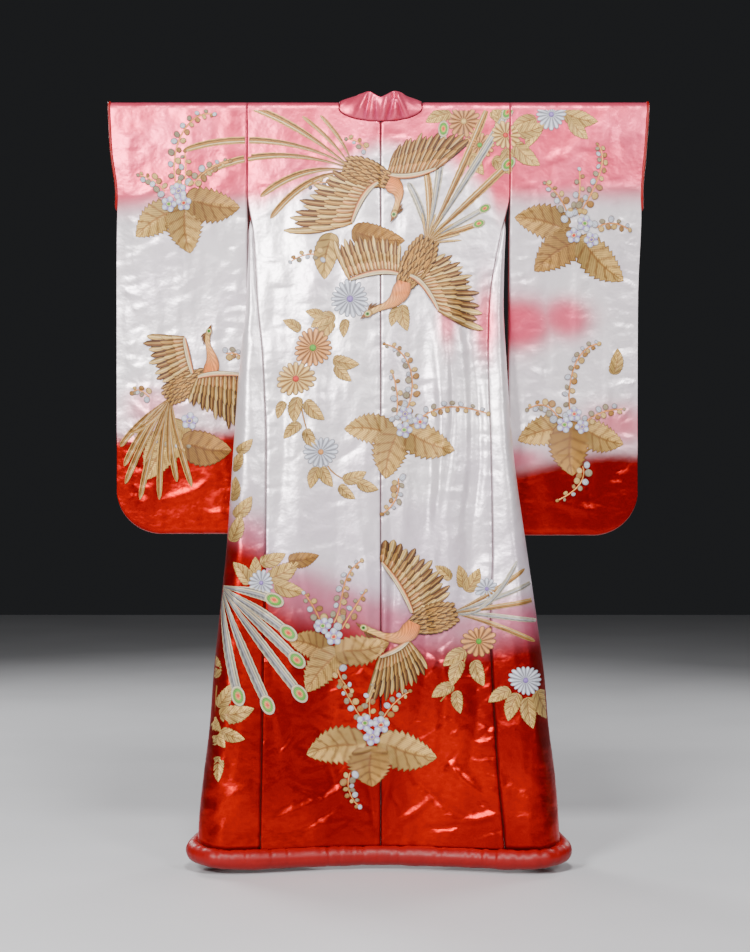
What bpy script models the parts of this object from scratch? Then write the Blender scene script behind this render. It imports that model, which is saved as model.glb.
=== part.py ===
"""Long-sleeved robe with a wadded hem, hung flat over a round rod.

The origin is the middle of the rod's axis. +Z is up, +X runs along the rod to the wearer's right,
and +Y points from the garment's back to its front. Sizes are in metres.
Every cloth piece is a wall worked out from an outer and an inner surface on the same grid.
"""

import bpy
import numpy as np

WALL = 0.003
GAP = 0.0003

ROD_RADIUS = 0.013
ROD_HALF_LENGTH = 0.60
ROD_SIDES = 24
TOP_RADIUS = 0.0170
ARC_STEPS = 5

HEM_Z = -1.774
ARMHOLE_END_Z = -0.20
SIDE_OPENING_END_Z = -0.30
OKUMI_TIP_Z = SIDE_OPENING_END_Z
COLLAR_END_Z = -1.05

NECK_HALF_WIDTH = 0.100
NECK_DROP = 0.032
COLLAR_THICKNESS = 0.006
COLLAR_GAP = 0.0006

SLEEVE_SEAM = {"left": 0.3215, "right": 0.3115}
SLEEVE_CORNER_RADIUS = 0.110
SLEEVE_ROWS = 13
SLEEVE_COLUMNS = 9
SLEEVE_BOTTOM_STEPS = 4
CUFF_END_Z = -0.245
CUFF_ROLL_RADIUS = 0.004
CUFF_ROLL_SIDES = 8

FUKI_HALF_HEIGHT = 0.023
FUKI_HALF_DEPTH = 0.022
FUKI_OUTWARD = 0.008
FUKI_SIDES = 12
FUKI_GAP = 0.0016
FUKI_END_SCALE = 0.72
HEM_LIFT = 0.045

FRONT_WRAP_COLUMNS = 7
FRONT_FLAT_COLUMNS = 5
BODY_COLUMNS = FRONT_WRAP_COLUMNS + FRONT_FLAT_COLUMNS
OKUMI_COLUMNS = 4
OPEN_EDGE_RUN = 0.05

# Heights of the rows that the back, front and overlap panels share, from the hem up
LOWER_ROWS = [HEM_Z, -1.70, -1.60, -1.48, -1.36, -1.24, -1.14, COLLAR_END_Z, -0.92, -0.78, -0.64, -0.50]
LOWER_ROWS += [-0.39, SIDE_OPENING_END_Z]

COLORS = {
    "satin_pink": (0.93, 0.72, 0.77),
    "satin_white": (0.93, 0.88, 0.90),
    "padded_red": (0.82, 0.14, 0.11),
    "rod_wood": (0.42, 0.28, 0.17),
}

# z: height; left_edge and right_edge: where each side's fold lies; left_seam and right_seam: side seams
OUTLINE_COLUMNS = ("z", "left_edge", "right_edge", "left_seam", "right_seam")
OUTLINE_ROWS = (
    (0.00, 0.3215, 0.3115, 0.3215, 0.3115),
    (-0.20, 0.3215, 0.3115, 0.3215, 0.3115),
    (-0.30, 0.3180, 0.3010, 0.3070, 0.2900),
    (-0.47, 0.3250, 0.2960, 0.2960, 0.2620),
    (-0.60, 0.3380, 0.3020, 0.2830, 0.2580),
    (-0.82, 0.3540, 0.3180, 0.2740, 0.2640),
    (-1.06, 0.3700, 0.3500, 0.2750, 0.2670),
    (-1.24, 0.3880, 0.3750, 0.2770, 0.2610),
    (-1.37, 0.4000, 0.3910, 0.2800, 0.2650),
    (-1.49, 0.4080, 0.4000, 0.2810, 0.2710),
    (-1.62, 0.4220, 0.4150, 0.2830, 0.2800),
    (-1.70, 0.4300, 0.4210, 0.2840, 0.2880),
    (-1.774, 0.4340, 0.4250, 0.2850, 0.2940),
)

# z: height; centre, side and fold: depth of the back, the side seam and the outer fold;
# front and front_side: depth of the front and of its outer edge above the side seam;
# okumi_seam and front_edge: distance of those lines from the middle
DEPTH_COLUMNS = ("z", "centre", "side", "fold", "front", "front_side", "okumi_seam", "front_edge")
DEPTH_ROWS = (
    (0.00, -0.0170, -0.0170, 0.0000, 0.0170, 0.0170, 0.1000, 0.1000),
    (-0.10, -0.0240, -0.0195, 0.0000, 0.0240, 0.0210, 0.0950, 0.0950),
    (-0.20, -0.0310, -0.0210, -0.0060, 0.0310, 0.0240, 0.0840, 0.0840),
    (-0.30, -0.0360, -0.0240, -0.0100, 0.0370, 0.0270, 0.0800, 0.0700),
    (-0.50, -0.0450, -0.0360, -0.0200, 0.0460, 0.0300, 0.1150, 0.0680),
    (-0.80, -0.0550, -0.0520, -0.0300, 0.0540, 0.0300, 0.1600, 0.0680),
    (-1.05, -0.0600, -0.0640, -0.0400, 0.0580, 0.0300, 0.2050, 0.0700),
    (-1.30, -0.0580, -0.0780, -0.0520, 0.0620, 0.0300, 0.2720, 0.1150),
    (-1.50, -0.0520, -0.0880, -0.0600, 0.0650, 0.0300, 0.3300, 0.1700),
    (-1.774, -0.0450, -0.1000, -0.0720, 0.0680, 0.0300, 0.3950, 0.2450),
)

# x: middle of the soft fold; top and bottom: heights where it fades; width: half width; out: depth moved
FOLD_COLUMNS = ("x", "top", "bottom", "width", "out")
BACK_FOLDS = (
    (0.160, -0.45, -1.30, 0.030, -0.0080),
    (0.215, -0.40, -1.20, 0.026, 0.0070),
    (0.090, -0.55, -1.25, 0.034, 0.0060),
    (-0.120, -0.80, -1.70, 0.050, 0.0060),
    (-0.200, -0.60, -1.40, 0.040, -0.0060),
    (0.180, -1.25, -1.77, 0.045, -0.0070),
)

# z: height; centre and gap: the sleeve's middle depth and the distance between its two layers;
# cuff_gap: that distance at the outer edge; left and right: each outer edge's distance from the middle
SLEEVE_COLUMNS_NAMED = ("z", "centre", "gap", "cuff_gap", "left", "right")
SLEEVE_ROWS_NAMED = (
    (0.000, 0.0000, 0.0340, 0.0340, 0.6520, 0.6420),
    (-0.100, 0.0008, 0.0400, 0.0380, 0.6465, 0.6350),
    (-0.205, 0.0020, 0.0440, 0.0300, 0.6345, 0.6275),
    (-0.260, 0.0100, 0.0440, 0.0080, 0.6380, 0.6310),
    (-0.450, 0.0360, 0.0370, 0.0068, 0.6425, 0.6265),
    (-0.700, 0.0500, 0.0360, 0.0068, 0.6440, 0.6270),
    (-1.027, 0.0580, 0.0300, 0.0068, 0.6450, 0.6285),
)

# turn: place along the neck seam, from 0 at the centre back over 1 at the shoulder's back edge
# and 2 at its front edge to 3 at the start of the straight band; x, y, z: the band's free edge
NECK_EDGE_COLUMNS = ("turn", "x", "y", "z")
NECK_EDGE_ROWS = (
    (0.00, 0.000, -0.0330, 0.0250),
    (0.35, 0.032, -0.0290, 0.0360),
    (0.70, 0.052, -0.0210, 0.0330),
    (1.00, 0.056, -0.0110, 0.0310),
    (1.50, 0.054, 0.0060, 0.0330),
    (2.00, 0.048, 0.0240, 0.0150),
    (3.00, 0.040, 0.0300, -0.0400),
)
BAND_WIDTH = 0.056
BAND_START_Z = -0.06

# share: how far across the band from its seam; side: how far out, in half thicknesses
BAND_PROFILE_COLUMNS = ("share", "side")
BAND_PROFILE = (
    (0.00, 0.8),
    (0.35, 1.0),
    (0.75, 1.0),
    (0.97, 0.7),
    (1.00, 0.0),
    (0.97, -0.7),
    (0.75, -1.0),
    (0.35, -1.0),
    (0.00, -0.8),
)


def table(columns, rows, key, at):
    """Reads column key of a table at the heights or places at, by straight lines between its rows."""
    data = np.array(rows, float)
    order = np.argsort(data[:, 0])
    return np.interp(at, data[order, 0], data[order, columns.index(key)])


def smooth(low, high, at):
    """A soft step from 0 to 1 between low and high."""
    t = np.clip((at - low) / (high - low), 0.0, 1.0)
    return t * t * (3.0 - 2.0 * t)


def blend(a, b, t):
    return a + (b - a) * t


def fold_depth(x, z):
    """How far the soft vertical folds move the back panels."""
    total = np.zeros(np.broadcast(x, z).shape)
    for row in BACK_FOLDS:
        fold = dict(zip(FOLD_COLUMNS, row))
        fade = smooth(fold["top"] + 0.1, fold["top"] - 0.15, z)
        fade = fade * smooth(fold["bottom"] - 0.1, fold["bottom"] + 0.15, z)
        total = total + fold["out"] * fade * np.exp(-(((x - fold["x"]) / fold["width"]) ** 2))
    return total


def spline(points, count):
    """count points along a smooth curve through the given points, each an array of the same shape."""
    stack = np.stack(points)
    lengths = np.linalg.norm(np.diff(stack, axis=0), axis=-1).reshape(len(points) - 1, -1).mean(1)
    steps = np.concatenate([[0.0], np.cumsum(lengths)])
    slope = np.gradient(stack, steps, axis=0)
    places = np.linspace(0.0, steps[-1], count)
    found = []
    for place in places:
        i = int(np.clip(np.searchsorted(steps, place, side="right") - 1, 0, len(points) - 2))
        width = steps[i + 1] - steps[i]
        t = (place - steps[i]) / width
        a = 2 * t**3 - 3 * t**2 + 1
        b = t**3 - 2 * t**2 + t
        c = -2 * t**3 + 3 * t**2
        d = t**3 - t**2
        found.append(a * stack[i] + b * width * slope[i] + c * stack[i + 1] + d * width * slope[i + 1])
    return np.stack(found, axis=-2)


def add_mesh(name, vertices, faces, slot):
    """Makes one named object from its points and faces, with its own material."""
    mesh = bpy.data.meshes.new(name)
    mesh.from_pydata([tuple(v) for v in vertices], [], [tuple(f) for f in faces])
    mesh.update()
    material = bpy.data.materials.get(slot)
    if material is None:
        material = bpy.data.materials.new(slot)
        material.use_nodes = True
        shader = material.node_tree.nodes["Principled BSDF"]
        shader.inputs["Base Color"].default_value = (*COLORS[slot], 1.0)
        shader.inputs["Roughness"].default_value = 0.45
    mesh.materials.append(material)
    mesh.polygons.foreach_set("use_smooth", [True] * len(mesh.polygons))
    item = bpy.data.objects.new(name, mesh)
    collection.objects.link(item)
    return item


def grid_faces(rows, columns, start, flip, wrap=False):
    """Quads of a grid whose points are numbered row by row from start."""
    faces = []
    for r in range(rows if wrap else rows - 1):
        for c in range(columns - 1):
            a = start + r * columns + c
            b = start + ((r + 1) % rows) * columns + c
            quad = (a, a + 1, b + 1, b)
            faces.append(quad[::-1] if flip else quad)
    return faces


def turned_outward(vertices, faces):
    """The faces, all reversed when the closed mesh has its inside out."""
    points = np.array(vertices, float)
    volume = 0.0
    for face in faces:
        for i in range(1, len(face) - 1):
            volume += np.dot(points[face[0]], np.cross(points[face[i]], points[face[i + 1]]))
    return faces if volume > 0 else [face[::-1] for face in faces]


def wall_from(name, outer, inner, slot, wrap=False):
    """A closed wall between two surfaces on the same grid. wrap joins the last row to the first."""
    rows, columns = outer.shape[:2]
    count = rows * columns
    vertices = np.concatenate([outer.reshape(-1, 3), inner.reshape(-1, 3)])
    faces = grid_faces(rows, columns, 0, False, wrap) + grid_faces(rows, columns, count, True, wrap)
    edges = []
    for r in range(rows if wrap else rows - 1):
        after = (r + 1) % rows
        edges.append((after * columns, r * columns))
        edges.append((r * columns + columns - 1, after * columns + columns - 1))
    if not wrap:
        for c in range(columns - 1):
            edges.append((c, c + 1))
            edges.append(((rows - 1) * columns + c + 1, (rows - 1) * columns + c))
    for a, b in edges:
        faces.append((b, a, a + count, b + count))
    return add_mesh(name, vertices, turned_outward(vertices, faces), slot)


def tube_from(name, rings, slot):
    """A closed tube through rings of points, with a flat cap at each end."""
    count, sides = rings.shape[:2]
    vertices = rings.reshape(-1, 3)
    faces = []
    for r in range(count - 1):
        for c in range(sides):
            after = (c + 1) % sides
            faces.append((r * sides + c, r * sides + after, (r + 1) * sides + after, (r + 1) * sides + c))
    faces.append(tuple(range(sides))[::-1])
    faces.append(tuple((count - 1) * sides + c for c in range(sides)))
    return add_mesh(name, vertices, turned_outward(vertices, faces), slot)


def unit(vectors):
    return vectors / np.maximum(np.linalg.norm(vectors, axis=-1, keepdims=True), 1e-12)


def normals_of(grid):
    """Surface normals of a grid, from the differences between neighbouring points."""
    along = np.gradient(grid, axis=0)
    across = np.gradient(grid, axis=1)
    return unit(np.cross(across, along))


def side_value(side, key, z):
    return table(OUTLINE_COLUMNS, OUTLINE_ROWS, f"{side}_{key}", z)


def depth_value(key, z):
    return table(DEPTH_COLUMNS, DEPTH_ROWS, key, z)


def neck_x(z):
    """Distance of the back neck curve from the middle, a quarter ellipse."""
    return NECK_HALF_WIDTH * np.sqrt(np.clip(1.0 - (z / NECK_DROP) ** 2, 0.0, 1.0))


def back_rows():
    """Heights of the back panel's rows, from the hem to the shoulder."""
    upper = [ARMHOLE_END_Z, -0.13, -0.075, -0.045]
    neck = [-NECK_DROP * np.cos(np.radians(a)) for a in (0.0, 22.0, 42.0, 60.0, 76.0)]
    return np.array(LOWER_ROWS + upper + neck)


def front_rows():
    """Heights of the front panel's rows, from the shoulder to the hem."""
    upper = [-0.02, BAND_START_Z, -0.12, ARMHOLE_END_Z]
    return np.array(upper + LOWER_ROWS[::-1])


def hem_lift(share):
    """How far the hem rises from the side fold to the front edge."""
    return HEM_LIFT * smooth(0.0, 0.45, share)


def back_surface(side, z):
    """Rows of the back panel from its centre seam or neck curve to its outer edge."""
    sign = -1.0 if side == "left" else 1.0
    inner = np.where(z > -NECK_DROP, neck_x(z), 0.0) + GAP / 2
    outer = side_value(side, "seam", z) - GAP / 2
    t = np.linspace(0.0, 1.0, BODY_COLUMNS)
    x = inner[:, None] + (outer - inner)[:, None] * t
    height = np.broadcast_to(z[:, None], x.shape)
    share = np.clip(x / outer[:, None], 0.0, 1.0)
    y = blend(depth_value("centre", z)[:, None], depth_value("side", z)[:, None], share**1.6)
    y = y + fold_depth(sign * x, height)
    return np.stack([sign * x, y, height], axis=-1)


def front_surface(side, z):
    """Rows of the front panel from its outer edge, round the side fold, to the okumi seam."""
    sign = -1.0 if side == "left" else 1.0
    seam = side_value(side, "seam", z) + GAP / 2
    edge = side_value(side, "edge", z)
    okumi = depth_value("okumi_seam", z) + GAP / 2
    closed = smooth(ARMHOLE_END_Z, SIDE_OPENING_END_Z, z)
    front = depth_value("front", z)
    side_y = depth_value("side", z) + fold_depth(sign * seam, z)
    fold_y = depth_value("fold", z)
    room = edge - seam
    corner_y = blend(side_y, fold_y, 0.12) - 0.10 * np.minimum(room, 0.15)
    flat_x = edge - blend(0.05, 0.060, smooth(SIDE_OPENING_END_Z, HEM_Z, z))
    far_slope = blend(0.30, 0.05, smooth(COLLAR_END_Z, HEM_Z, z))
    closed_points = (
        (seam, side_y),
        (seam + 0.72 * room, corner_y),
        (edge, fold_y),
        (edge - far_slope * (front - fold_y) - 0.004, blend(fold_y, front, 0.5)),
        (np.maximum(flat_x, okumi + 0.004), blend(fold_y, front, 0.9)),
    )
    points = []
    for step, (x, y) in enumerate(closed_points):
        share = step / (len(closed_points) - 1)
        open_x = edge - OPEN_EDGE_RUN * share
        open_y = blend(depth_value("front_side", z), front, share)
        points.append(np.stack([blend(open_x, x, closed), blend(open_y, y, closed), z], -1))
    wrap = spline(points, FRONT_WRAP_COLUMNS)
    flat = points[-1]
    t = np.linspace(0.0, 1.0, FRONT_FLAT_COLUMNS + 1)[1:]
    x = blend(flat[:, None, 0], okumi[:, None], t)
    y = blend(flat[:, None, 1], front[:, None], smooth(0.0, 1.0, t))
    level = np.stack([x, y, np.broadcast_to(z[:, None], x.shape)], -1)
    surface = np.concatenate([wrap, level], axis=1)
    surface[..., 0] *= sign
    return surface


def lifted(surface, z, start_share, end_share):
    """The surface with its lowest rows raised towards the front edge."""
    share = np.linspace(start_share, end_share, surface.shape[1])
    near_hem = smooth(-1.20, HEM_Z, z)
    surface[..., 2] += near_hem[:, None] * hem_lift(share)
    return surface


def okumi_surface(side, z):
    """Rows of the front overlap panel from its seam to the front edge."""
    sign = -1.0 if side == "left" else 1.0
    seam = depth_value("okumi_seam", z) - GAP / 2
    edge = depth_value("front_edge", z)
    front = depth_value("front", z)
    t = np.linspace(0.0, 1.0, OKUMI_COLUMNS)
    x = blend(seam[:, None], edge[:, None], t)
    y = np.broadcast_to(front[:, None], x.shape) + 0.0
    return np.stack([sign * x, y, np.broadcast_to(z[:, None], x.shape) + 0.0], -1)


def shared_rows(back_z, front_z):
    """Pairs of row numbers, in the whole body length, that meet along the side seam."""
    first_front = len(back_z) + ARC_STEPS + 1
    pairs = []
    for i, z in enumerate(back_z):
        for j, other in enumerate(front_z):
            if z == other and z <= SIDE_OPENING_END_Z:
                pairs.append((i, first_front + j))
    return pairs


def build_body(side):
    """The body length of one side, from the back hem over the shoulder to the front hem."""
    sign = -1.0 if side == "left" else 1.0
    back_z = back_rows()
    front_z = front_rows()
    rows = list(back_surface(side, back_z))
    edge = side_value(side, "edge", 0.0) - GAP / 2
    x = sign * blend(NECK_HALF_WIDTH, edge, np.linspace(0.0, 1.0, BODY_COLUMNS))
    for step in range(ARC_STEPS + 1):
        angle = np.pi * step / ARC_STEPS
        y = np.full(BODY_COLUMNS, -TOP_RADIUS * np.cos(angle))
        z = np.full(BODY_COLUMNS, TOP_RADIUS * np.sin(angle))
        rows.append(np.stack([x, y, z], -1))
    front = lifted(front_surface(side, front_z), front_z, 0.0, 0.62)
    rows.extend(front[:, ::-1])
    surface = np.array(rows)
    normals = normals_of(surface) * sign
    for i, j in shared_rows(back_z, front_z):
        normals[i, -1] = normals[j, -1] = unit(normals[i, -1] + normals[j, -1])
    normals[: len(LOWER_ROWS) + 5, 0, 0] = 0.0
    normals[[0, -1], :, 2] = 0.0
    top = surface[..., -1, 2] > SIDE_OPENING_END_Z
    normals[top, -1, 0] = 0.0
    inner = surface + unit(normals) * WALL
    wall_from(f"body_{side}", surface, inner, "satin_white")
    return surface, inner, back_z, front_z


def build_okumi(side):
    z = front_rows()
    z = z[z <= OKUMI_TIP_Z + 1e-9]
    sign = -1.0 if side == "left" else 1.0
    surface = lifted(okumi_surface(side, z), z, 0.62, 1.0)
    surface = surface[:, ::-1]
    normals = normals_of(surface) * sign
    normals[-1, :, 2] = 0.0
    normals[:, [0, -1], 0] = 0.0
    inner = surface + unit(normals) * WALL
    wall_from(f"okumi_{side}", surface, inner, "satin_white")
    return surface, inner, z


def sleeve_value(key, z):
    return table(SLEEVE_COLUMNS_NAMED, SLEEVE_ROWS_NAMED, key, z)


def sleeve_grid(side, inset):
    """The sleeve's closed loops, one for each step from the body side to the outer edge.

    A loop runs over the rod, down the back layer, round the bottom and up the front layer. inset
    moves it inwards.
    """
    sign = -1.0 if side == "left" else 1.0
    bottom_z = -1.027 if side == "left" else -1.031
    start = SLEEVE_SEAM[side] + GAP / 2
    share = 1.0 - (1.0 - np.linspace(0.0, 1.0, SLEEVE_COLUMNS)) ** 1.35
    outer_low = sleeve_value(side, bottom_z)
    away = (outer_low - start) * (1.0 - share)
    missing = np.clip(SLEEVE_CORNER_RADIUS - away, 0.0, SLEEVE_CORNER_RADIUS)
    rise = SLEEVE_CORNER_RADIUS - np.sqrt(SLEEVE_CORNER_RADIUS**2 - missing**2 * 0.985)
    bottom = bottom_z + rise
    weight = share**3

    def half_gap(z):
        gap = blend(sleeve_value("gap", z), sleeve_value("cuff_gap", z), weight)
        return gap / 2 - inset

    low = half_gap(bottom)
    down = smooth(0.0, 1.0, np.linspace(0.0, 1.0, SLEEVE_ROWS)) * 0.35
    down = down + np.linspace(0.0, 1.0, SLEEVE_ROWS) * 0.65
    loops = []
    for step in range(ARC_STEPS + 1):
        angle = np.pi * step / ARC_STEPS
        y = np.full(SLEEVE_COLUMNS, (TOP_RADIUS - inset) * np.cos(angle))
        z = np.full(SLEEVE_COLUMNS, (TOP_RADIUS - inset) * np.sin(angle))
        loops.append((y, z))
    layers = []
    for share_down in down[1:]:
        z = (bottom + inset + low) * share_down
        layers.append((sleeve_value("centre", z), half_gap(z), z))
    loops.extend((centre - half, z) for centre, half, z in layers)
    middle = sleeve_value("centre", bottom)
    for step in range(1, SLEEVE_BOTTOM_STEPS):
        angle = np.pi * step / SLEEVE_BOTTOM_STEPS
        loops.append((middle - low * np.cos(angle), bottom + inset + low - low * np.sin(angle)))
    loops.extend((centre + half, z) for centre, half, z in layers[::-1])
    rows = []
    for y, z in loops:
        x = blend(start, sleeve_value(side, z), share)
        rows.append(np.stack([sign * x, y, z], -1))
    return np.array(rows)


def build_sleeve(side):
    outer = sleeve_grid(side, 0.0)
    inner = sleeve_grid(side, WALL)
    wall_from(f"sleeve_{side}", outer, inner, "satin_pink", True)
    return outer, inner


def build_cuff(side, outer, inner):
    """The padded edge round the cuff opening, a thin tube just outside the sleeve's edge."""
    middle = (outer[:, -1] + inner[:, -1]) / 2
    first_back = ARC_STEPS + 1
    depth = int(np.sum(middle[first_back : first_back + SLEEVE_ROWS - 1, 2] > CUFF_END_Z))
    front_part = middle[len(middle) - depth :]
    path = np.concatenate([front_part, middle[: first_back + depth]])
    outward = np.array([-1.0 if side == "left" else 1.0, 0.0, 0.0])
    path = path + outward * (CUFF_ROLL_RADIUS + GAP)
    along = unit(np.gradient(path, axis=0))
    across = unit(np.cross(along, outward))
    away = unit(np.cross(across, along))
    rings = []
    for centre, a, b in zip(path, across, away):
        angles = 2 * np.pi * (np.arange(CUFF_ROLL_SIDES) + 0.5) / CUFF_ROLL_SIDES
        rings.append(centre + CUFF_ROLL_RADIUS * (np.cos(angles)[:, None] * a + np.sin(angles)[:, None] * b))
    tube_from(f"cuff_{side}", np.array(rings), "padded_red")


def build_rod():
    angles = 2 * np.pi * np.arange(ROD_SIDES) / ROD_SIDES
    ring = np.stack([np.zeros(ROD_SIDES), ROD_RADIUS * np.cos(angles), ROD_RADIUS * np.sin(angles)], -1)
    ends = [ring + np.array([x, 0.0, 0.0]) for x in (-ROD_HALF_LENGTH, ROD_HALF_LENGTH)]
    tube_from("rod", np.array(ends), "rod_wood")


def neck_free_edge(turn):
    return np.array([table(NECK_EDGE_COLUMNS, NECK_EDGE_ROWS, key, turn) for key in ("x", "y", "z")])


def collar_half(side, body, okumi):
    """Seam points and free-edge points of half the collar, from the centre back to its lower end."""
    sign = -1.0 if side == "left" else 1.0
    surface, inner, back_z, front_z = body
    middle = (surface + inner) / 2
    seam = []
    free = []
    neck_rows = [i for i, z in enumerate(back_z) if z >= -NECK_DROP - 1e-9]
    for i in neck_rows:
        turn = (np.degrees(np.arccos(np.clip(-back_z[i] / NECK_DROP, 0.0, 1.0)))) / 90.0
        seam.append(middle[i, 0])
        free.append(neck_free_edge(turn))
    for step in range(ARC_STEPS + 1):
        seam.append(middle[len(back_z) + step, 0])
        free.append(neck_free_edge(1.0 + step / ARC_STEPS))
    first = len(back_z) + ARC_STEPS + 1
    for i, z in enumerate(front_z):
        if z <= OKUMI_TIP_Z + 1e-9:
            break
        point = middle[first + i, 0]
        seam.append(point)
        if z > BAND_START_Z:
            free.append(neck_free_edge(2.0 + z / BAND_START_Z))
        else:
            free.append(np.array([abs(point[0]) - BAND_WIDTH, point[1] + 0.002, z]))
    okumi_surface_points, okumi_inner, okumi_z = okumi
    okumi_middle = (okumi_surface_points + okumi_inner) / 2
    for i, z in enumerate(okumi_z):
        if z < COLLAR_END_Z - 1e-9:
            break
        point = okumi_middle[i, 0]
        seam.append(point)
        free.append(np.array([abs(point[0]) - BAND_WIDTH, point[1] + 0.002, z]))
    seam = np.array(seam)
    free = np.array(free)
    free[:, 0] *= sign
    return seam, free


def build_collar(bodies, okumis):
    """One band from the left front edge round the neck to the right front edge."""
    right_seam, right_free = collar_half("right", bodies["right"], okumis["right"])
    left_seam, left_free = collar_half("left", bodies["left"], okumis["left"])
    centre_seam = (right_seam[:1] + left_seam[:1]) / 2
    centre_free = (right_free[:1] + left_free[:1]) / 2
    seam = np.concatenate([left_seam[:0:-1], centre_seam, right_seam[1:]])
    free = np.concatenate([left_free[:0:-1], centre_free, right_free[1:]])
    along = unit(np.gradient(seam, axis=0) + np.gradient(free, axis=0))
    toward = unit(free - seam)
    outward = unit(np.cross(along, toward))
    half = COLLAR_THICKNESS / 2
    width = np.linalg.norm(free - seam, axis=1)
    start = seam + toward * COLLAR_GAP
    rings = []
    for row in BAND_PROFILE:
        place = dict(zip(BAND_PROFILE_COLUMNS, row))
        rings.append(start + toward * (width * place["share"])[:, None] + outward * half * place["side"])
    tube_from("collar", np.stack(rings, axis=1), "satin_pink")


def hem_path(bodies, okumis):
    """Points along the lowest edge of the cloth, from the left front edge to the right front edge."""
    halves = []
    for side in ("left", "right"):
        surface, inner = bodies[side][:2]
        middle = (surface + inner) / 2
        back = middle[0, 1:]
        front = middle[-1, ::-1]
        okumi = (okumis[side][0] + okumis[side][1]) / 2
        halves.append(np.concatenate([back[:-1], front, okumi[-1, ::-1][1:]]))
    centre = np.array([[0.0, bodies["right"][0][0, 0, 1], HEM_Z]])
    return np.concatenate([halves[0][::-1], centre, halves[1]])


def build_fuki(bodies, okumis):
    """The wadded roll under the hem, an oval carried along the hem line."""
    path = hem_path(bodies, okumis)
    along = np.gradient(path, axis=0)
    along[:, 2] = 0.0
    along = unit(along)
    outward = np.stack([along[:, 1], -along[:, 0], np.zeros(len(path))], -1)
    steps = np.concatenate([[0.0], np.cumsum(np.linalg.norm(np.diff(path, axis=0), axis=1))])
    from_end = np.minimum(steps, steps[-1] - steps)
    scale = blend(FUKI_END_SCALE, 1.0, smooth(0.0, 0.04, from_end))
    down = np.array([0.0, 0.0, -1.0])
    centre = path + down * (FUKI_HALF_HEIGHT * scale[:, None] + FUKI_GAP) + outward * FUKI_OUTWARD
    rings = []
    for i in range(FUKI_SIDES):
        angle = 2 * np.pi * (i + 0.5) / FUKI_SIDES
        flat = np.cos(np.pi / FUKI_SIDES)
        upward = -down * FUKI_HALF_HEIGHT * np.sin(angle) / flat
        sideways = outward * FUKI_HALF_DEPTH * np.cos(angle) / flat
        rings.append(centre + (upward + sideways) * scale[:, None])
    tube_from("hem_roll", np.stack(rings, axis=1), "padded_red")


for item in list(bpy.data.objects):
    bpy.data.objects.remove(item, do_unlink=True)
collection = bpy.data.collections.new("kimono")
bpy.context.scene.collection.children.link(collection)

built_bodies = {side: build_body(side) for side in ("left", "right")}
built_okumis = {side: build_okumi(side) for side in ("left", "right")}
for name_of_side in ("left", "right"):
    sleeve_outer, sleeve_inner = build_sleeve(name_of_side)
    build_cuff(name_of_side, sleeve_outer, sleeve_inner)
build_collar(built_bodies, built_okumis)
build_fuki(built_bodies, built_okumis)
build_rod()
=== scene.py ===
"""Dresses the long-sleeved robe on its rod: dyed satin, red lining, wadded hem and raised stitching.

Lengths are in metres. The robe's back faces -Y. Cloth surfaces follow the same tables as the solids,
on finer grids. The stitched design is drawn on a plan of 2.4 mm squares, counted to the right and down.
"""

import bpy
import numpy as np
from mathutils import Matrix


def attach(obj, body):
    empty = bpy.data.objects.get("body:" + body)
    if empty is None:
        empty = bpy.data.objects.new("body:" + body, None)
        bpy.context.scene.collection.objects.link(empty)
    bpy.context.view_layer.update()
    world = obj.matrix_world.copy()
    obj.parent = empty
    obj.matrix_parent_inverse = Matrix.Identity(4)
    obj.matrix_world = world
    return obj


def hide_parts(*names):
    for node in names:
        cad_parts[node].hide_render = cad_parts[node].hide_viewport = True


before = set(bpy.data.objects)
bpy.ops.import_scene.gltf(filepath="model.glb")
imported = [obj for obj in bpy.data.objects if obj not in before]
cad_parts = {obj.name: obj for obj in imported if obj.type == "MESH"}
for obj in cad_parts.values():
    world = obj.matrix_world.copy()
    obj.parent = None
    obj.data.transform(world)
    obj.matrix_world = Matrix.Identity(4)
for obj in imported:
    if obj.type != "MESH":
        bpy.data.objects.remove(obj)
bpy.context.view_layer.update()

# which way each side lies along x
SIDES = {"left": -1.0, "right": 1.0}
SHELL = 0.0020
GAP = 0.00006
ROD_CLOTH_RADIUS = 0.0170
HEM_Z = -1.774
ARMHOLE_END_Z = -0.20
SIDE_OPENING_END_Z = -0.30
COLLAR_END_Z = -1.05
NECK_HALF_WIDTH = 0.100
NECK_DROP = 0.032
SLEEVE_SEAM = {"left": 0.3215, "right": 0.3115}
SLEEVE_BOTTOM = {"left": -1.027, "right": -1.031}
SLEEVE_CORNER_RADIUS = 0.110
CUFF_END_Z = -0.245
CUFF_RADIUS = 0.0032
HEM_LIFT = 0.045
LIFT_START_Z = -1.20
BODY_SHARE = 0.62
OPEN_EDGE_RUN = 0.05
BOW = 1.6
CENTRE_GROOVE = 0.0018
SIDE_GROOVE = 0.0016
GROOVE_WIDTH = 0.0032
SEAM_WIDTH = 0.0024
FLAT_ABOVE_Z = -0.04
BODY_COLUMNS = 84
WRAP_COLUMNS = 44
PLAN = 0.0024
PLAN_MIDDLE = 380.7
PLAN_TOP = 107.0
PLAN_MM = PLAN * 1000

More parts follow.
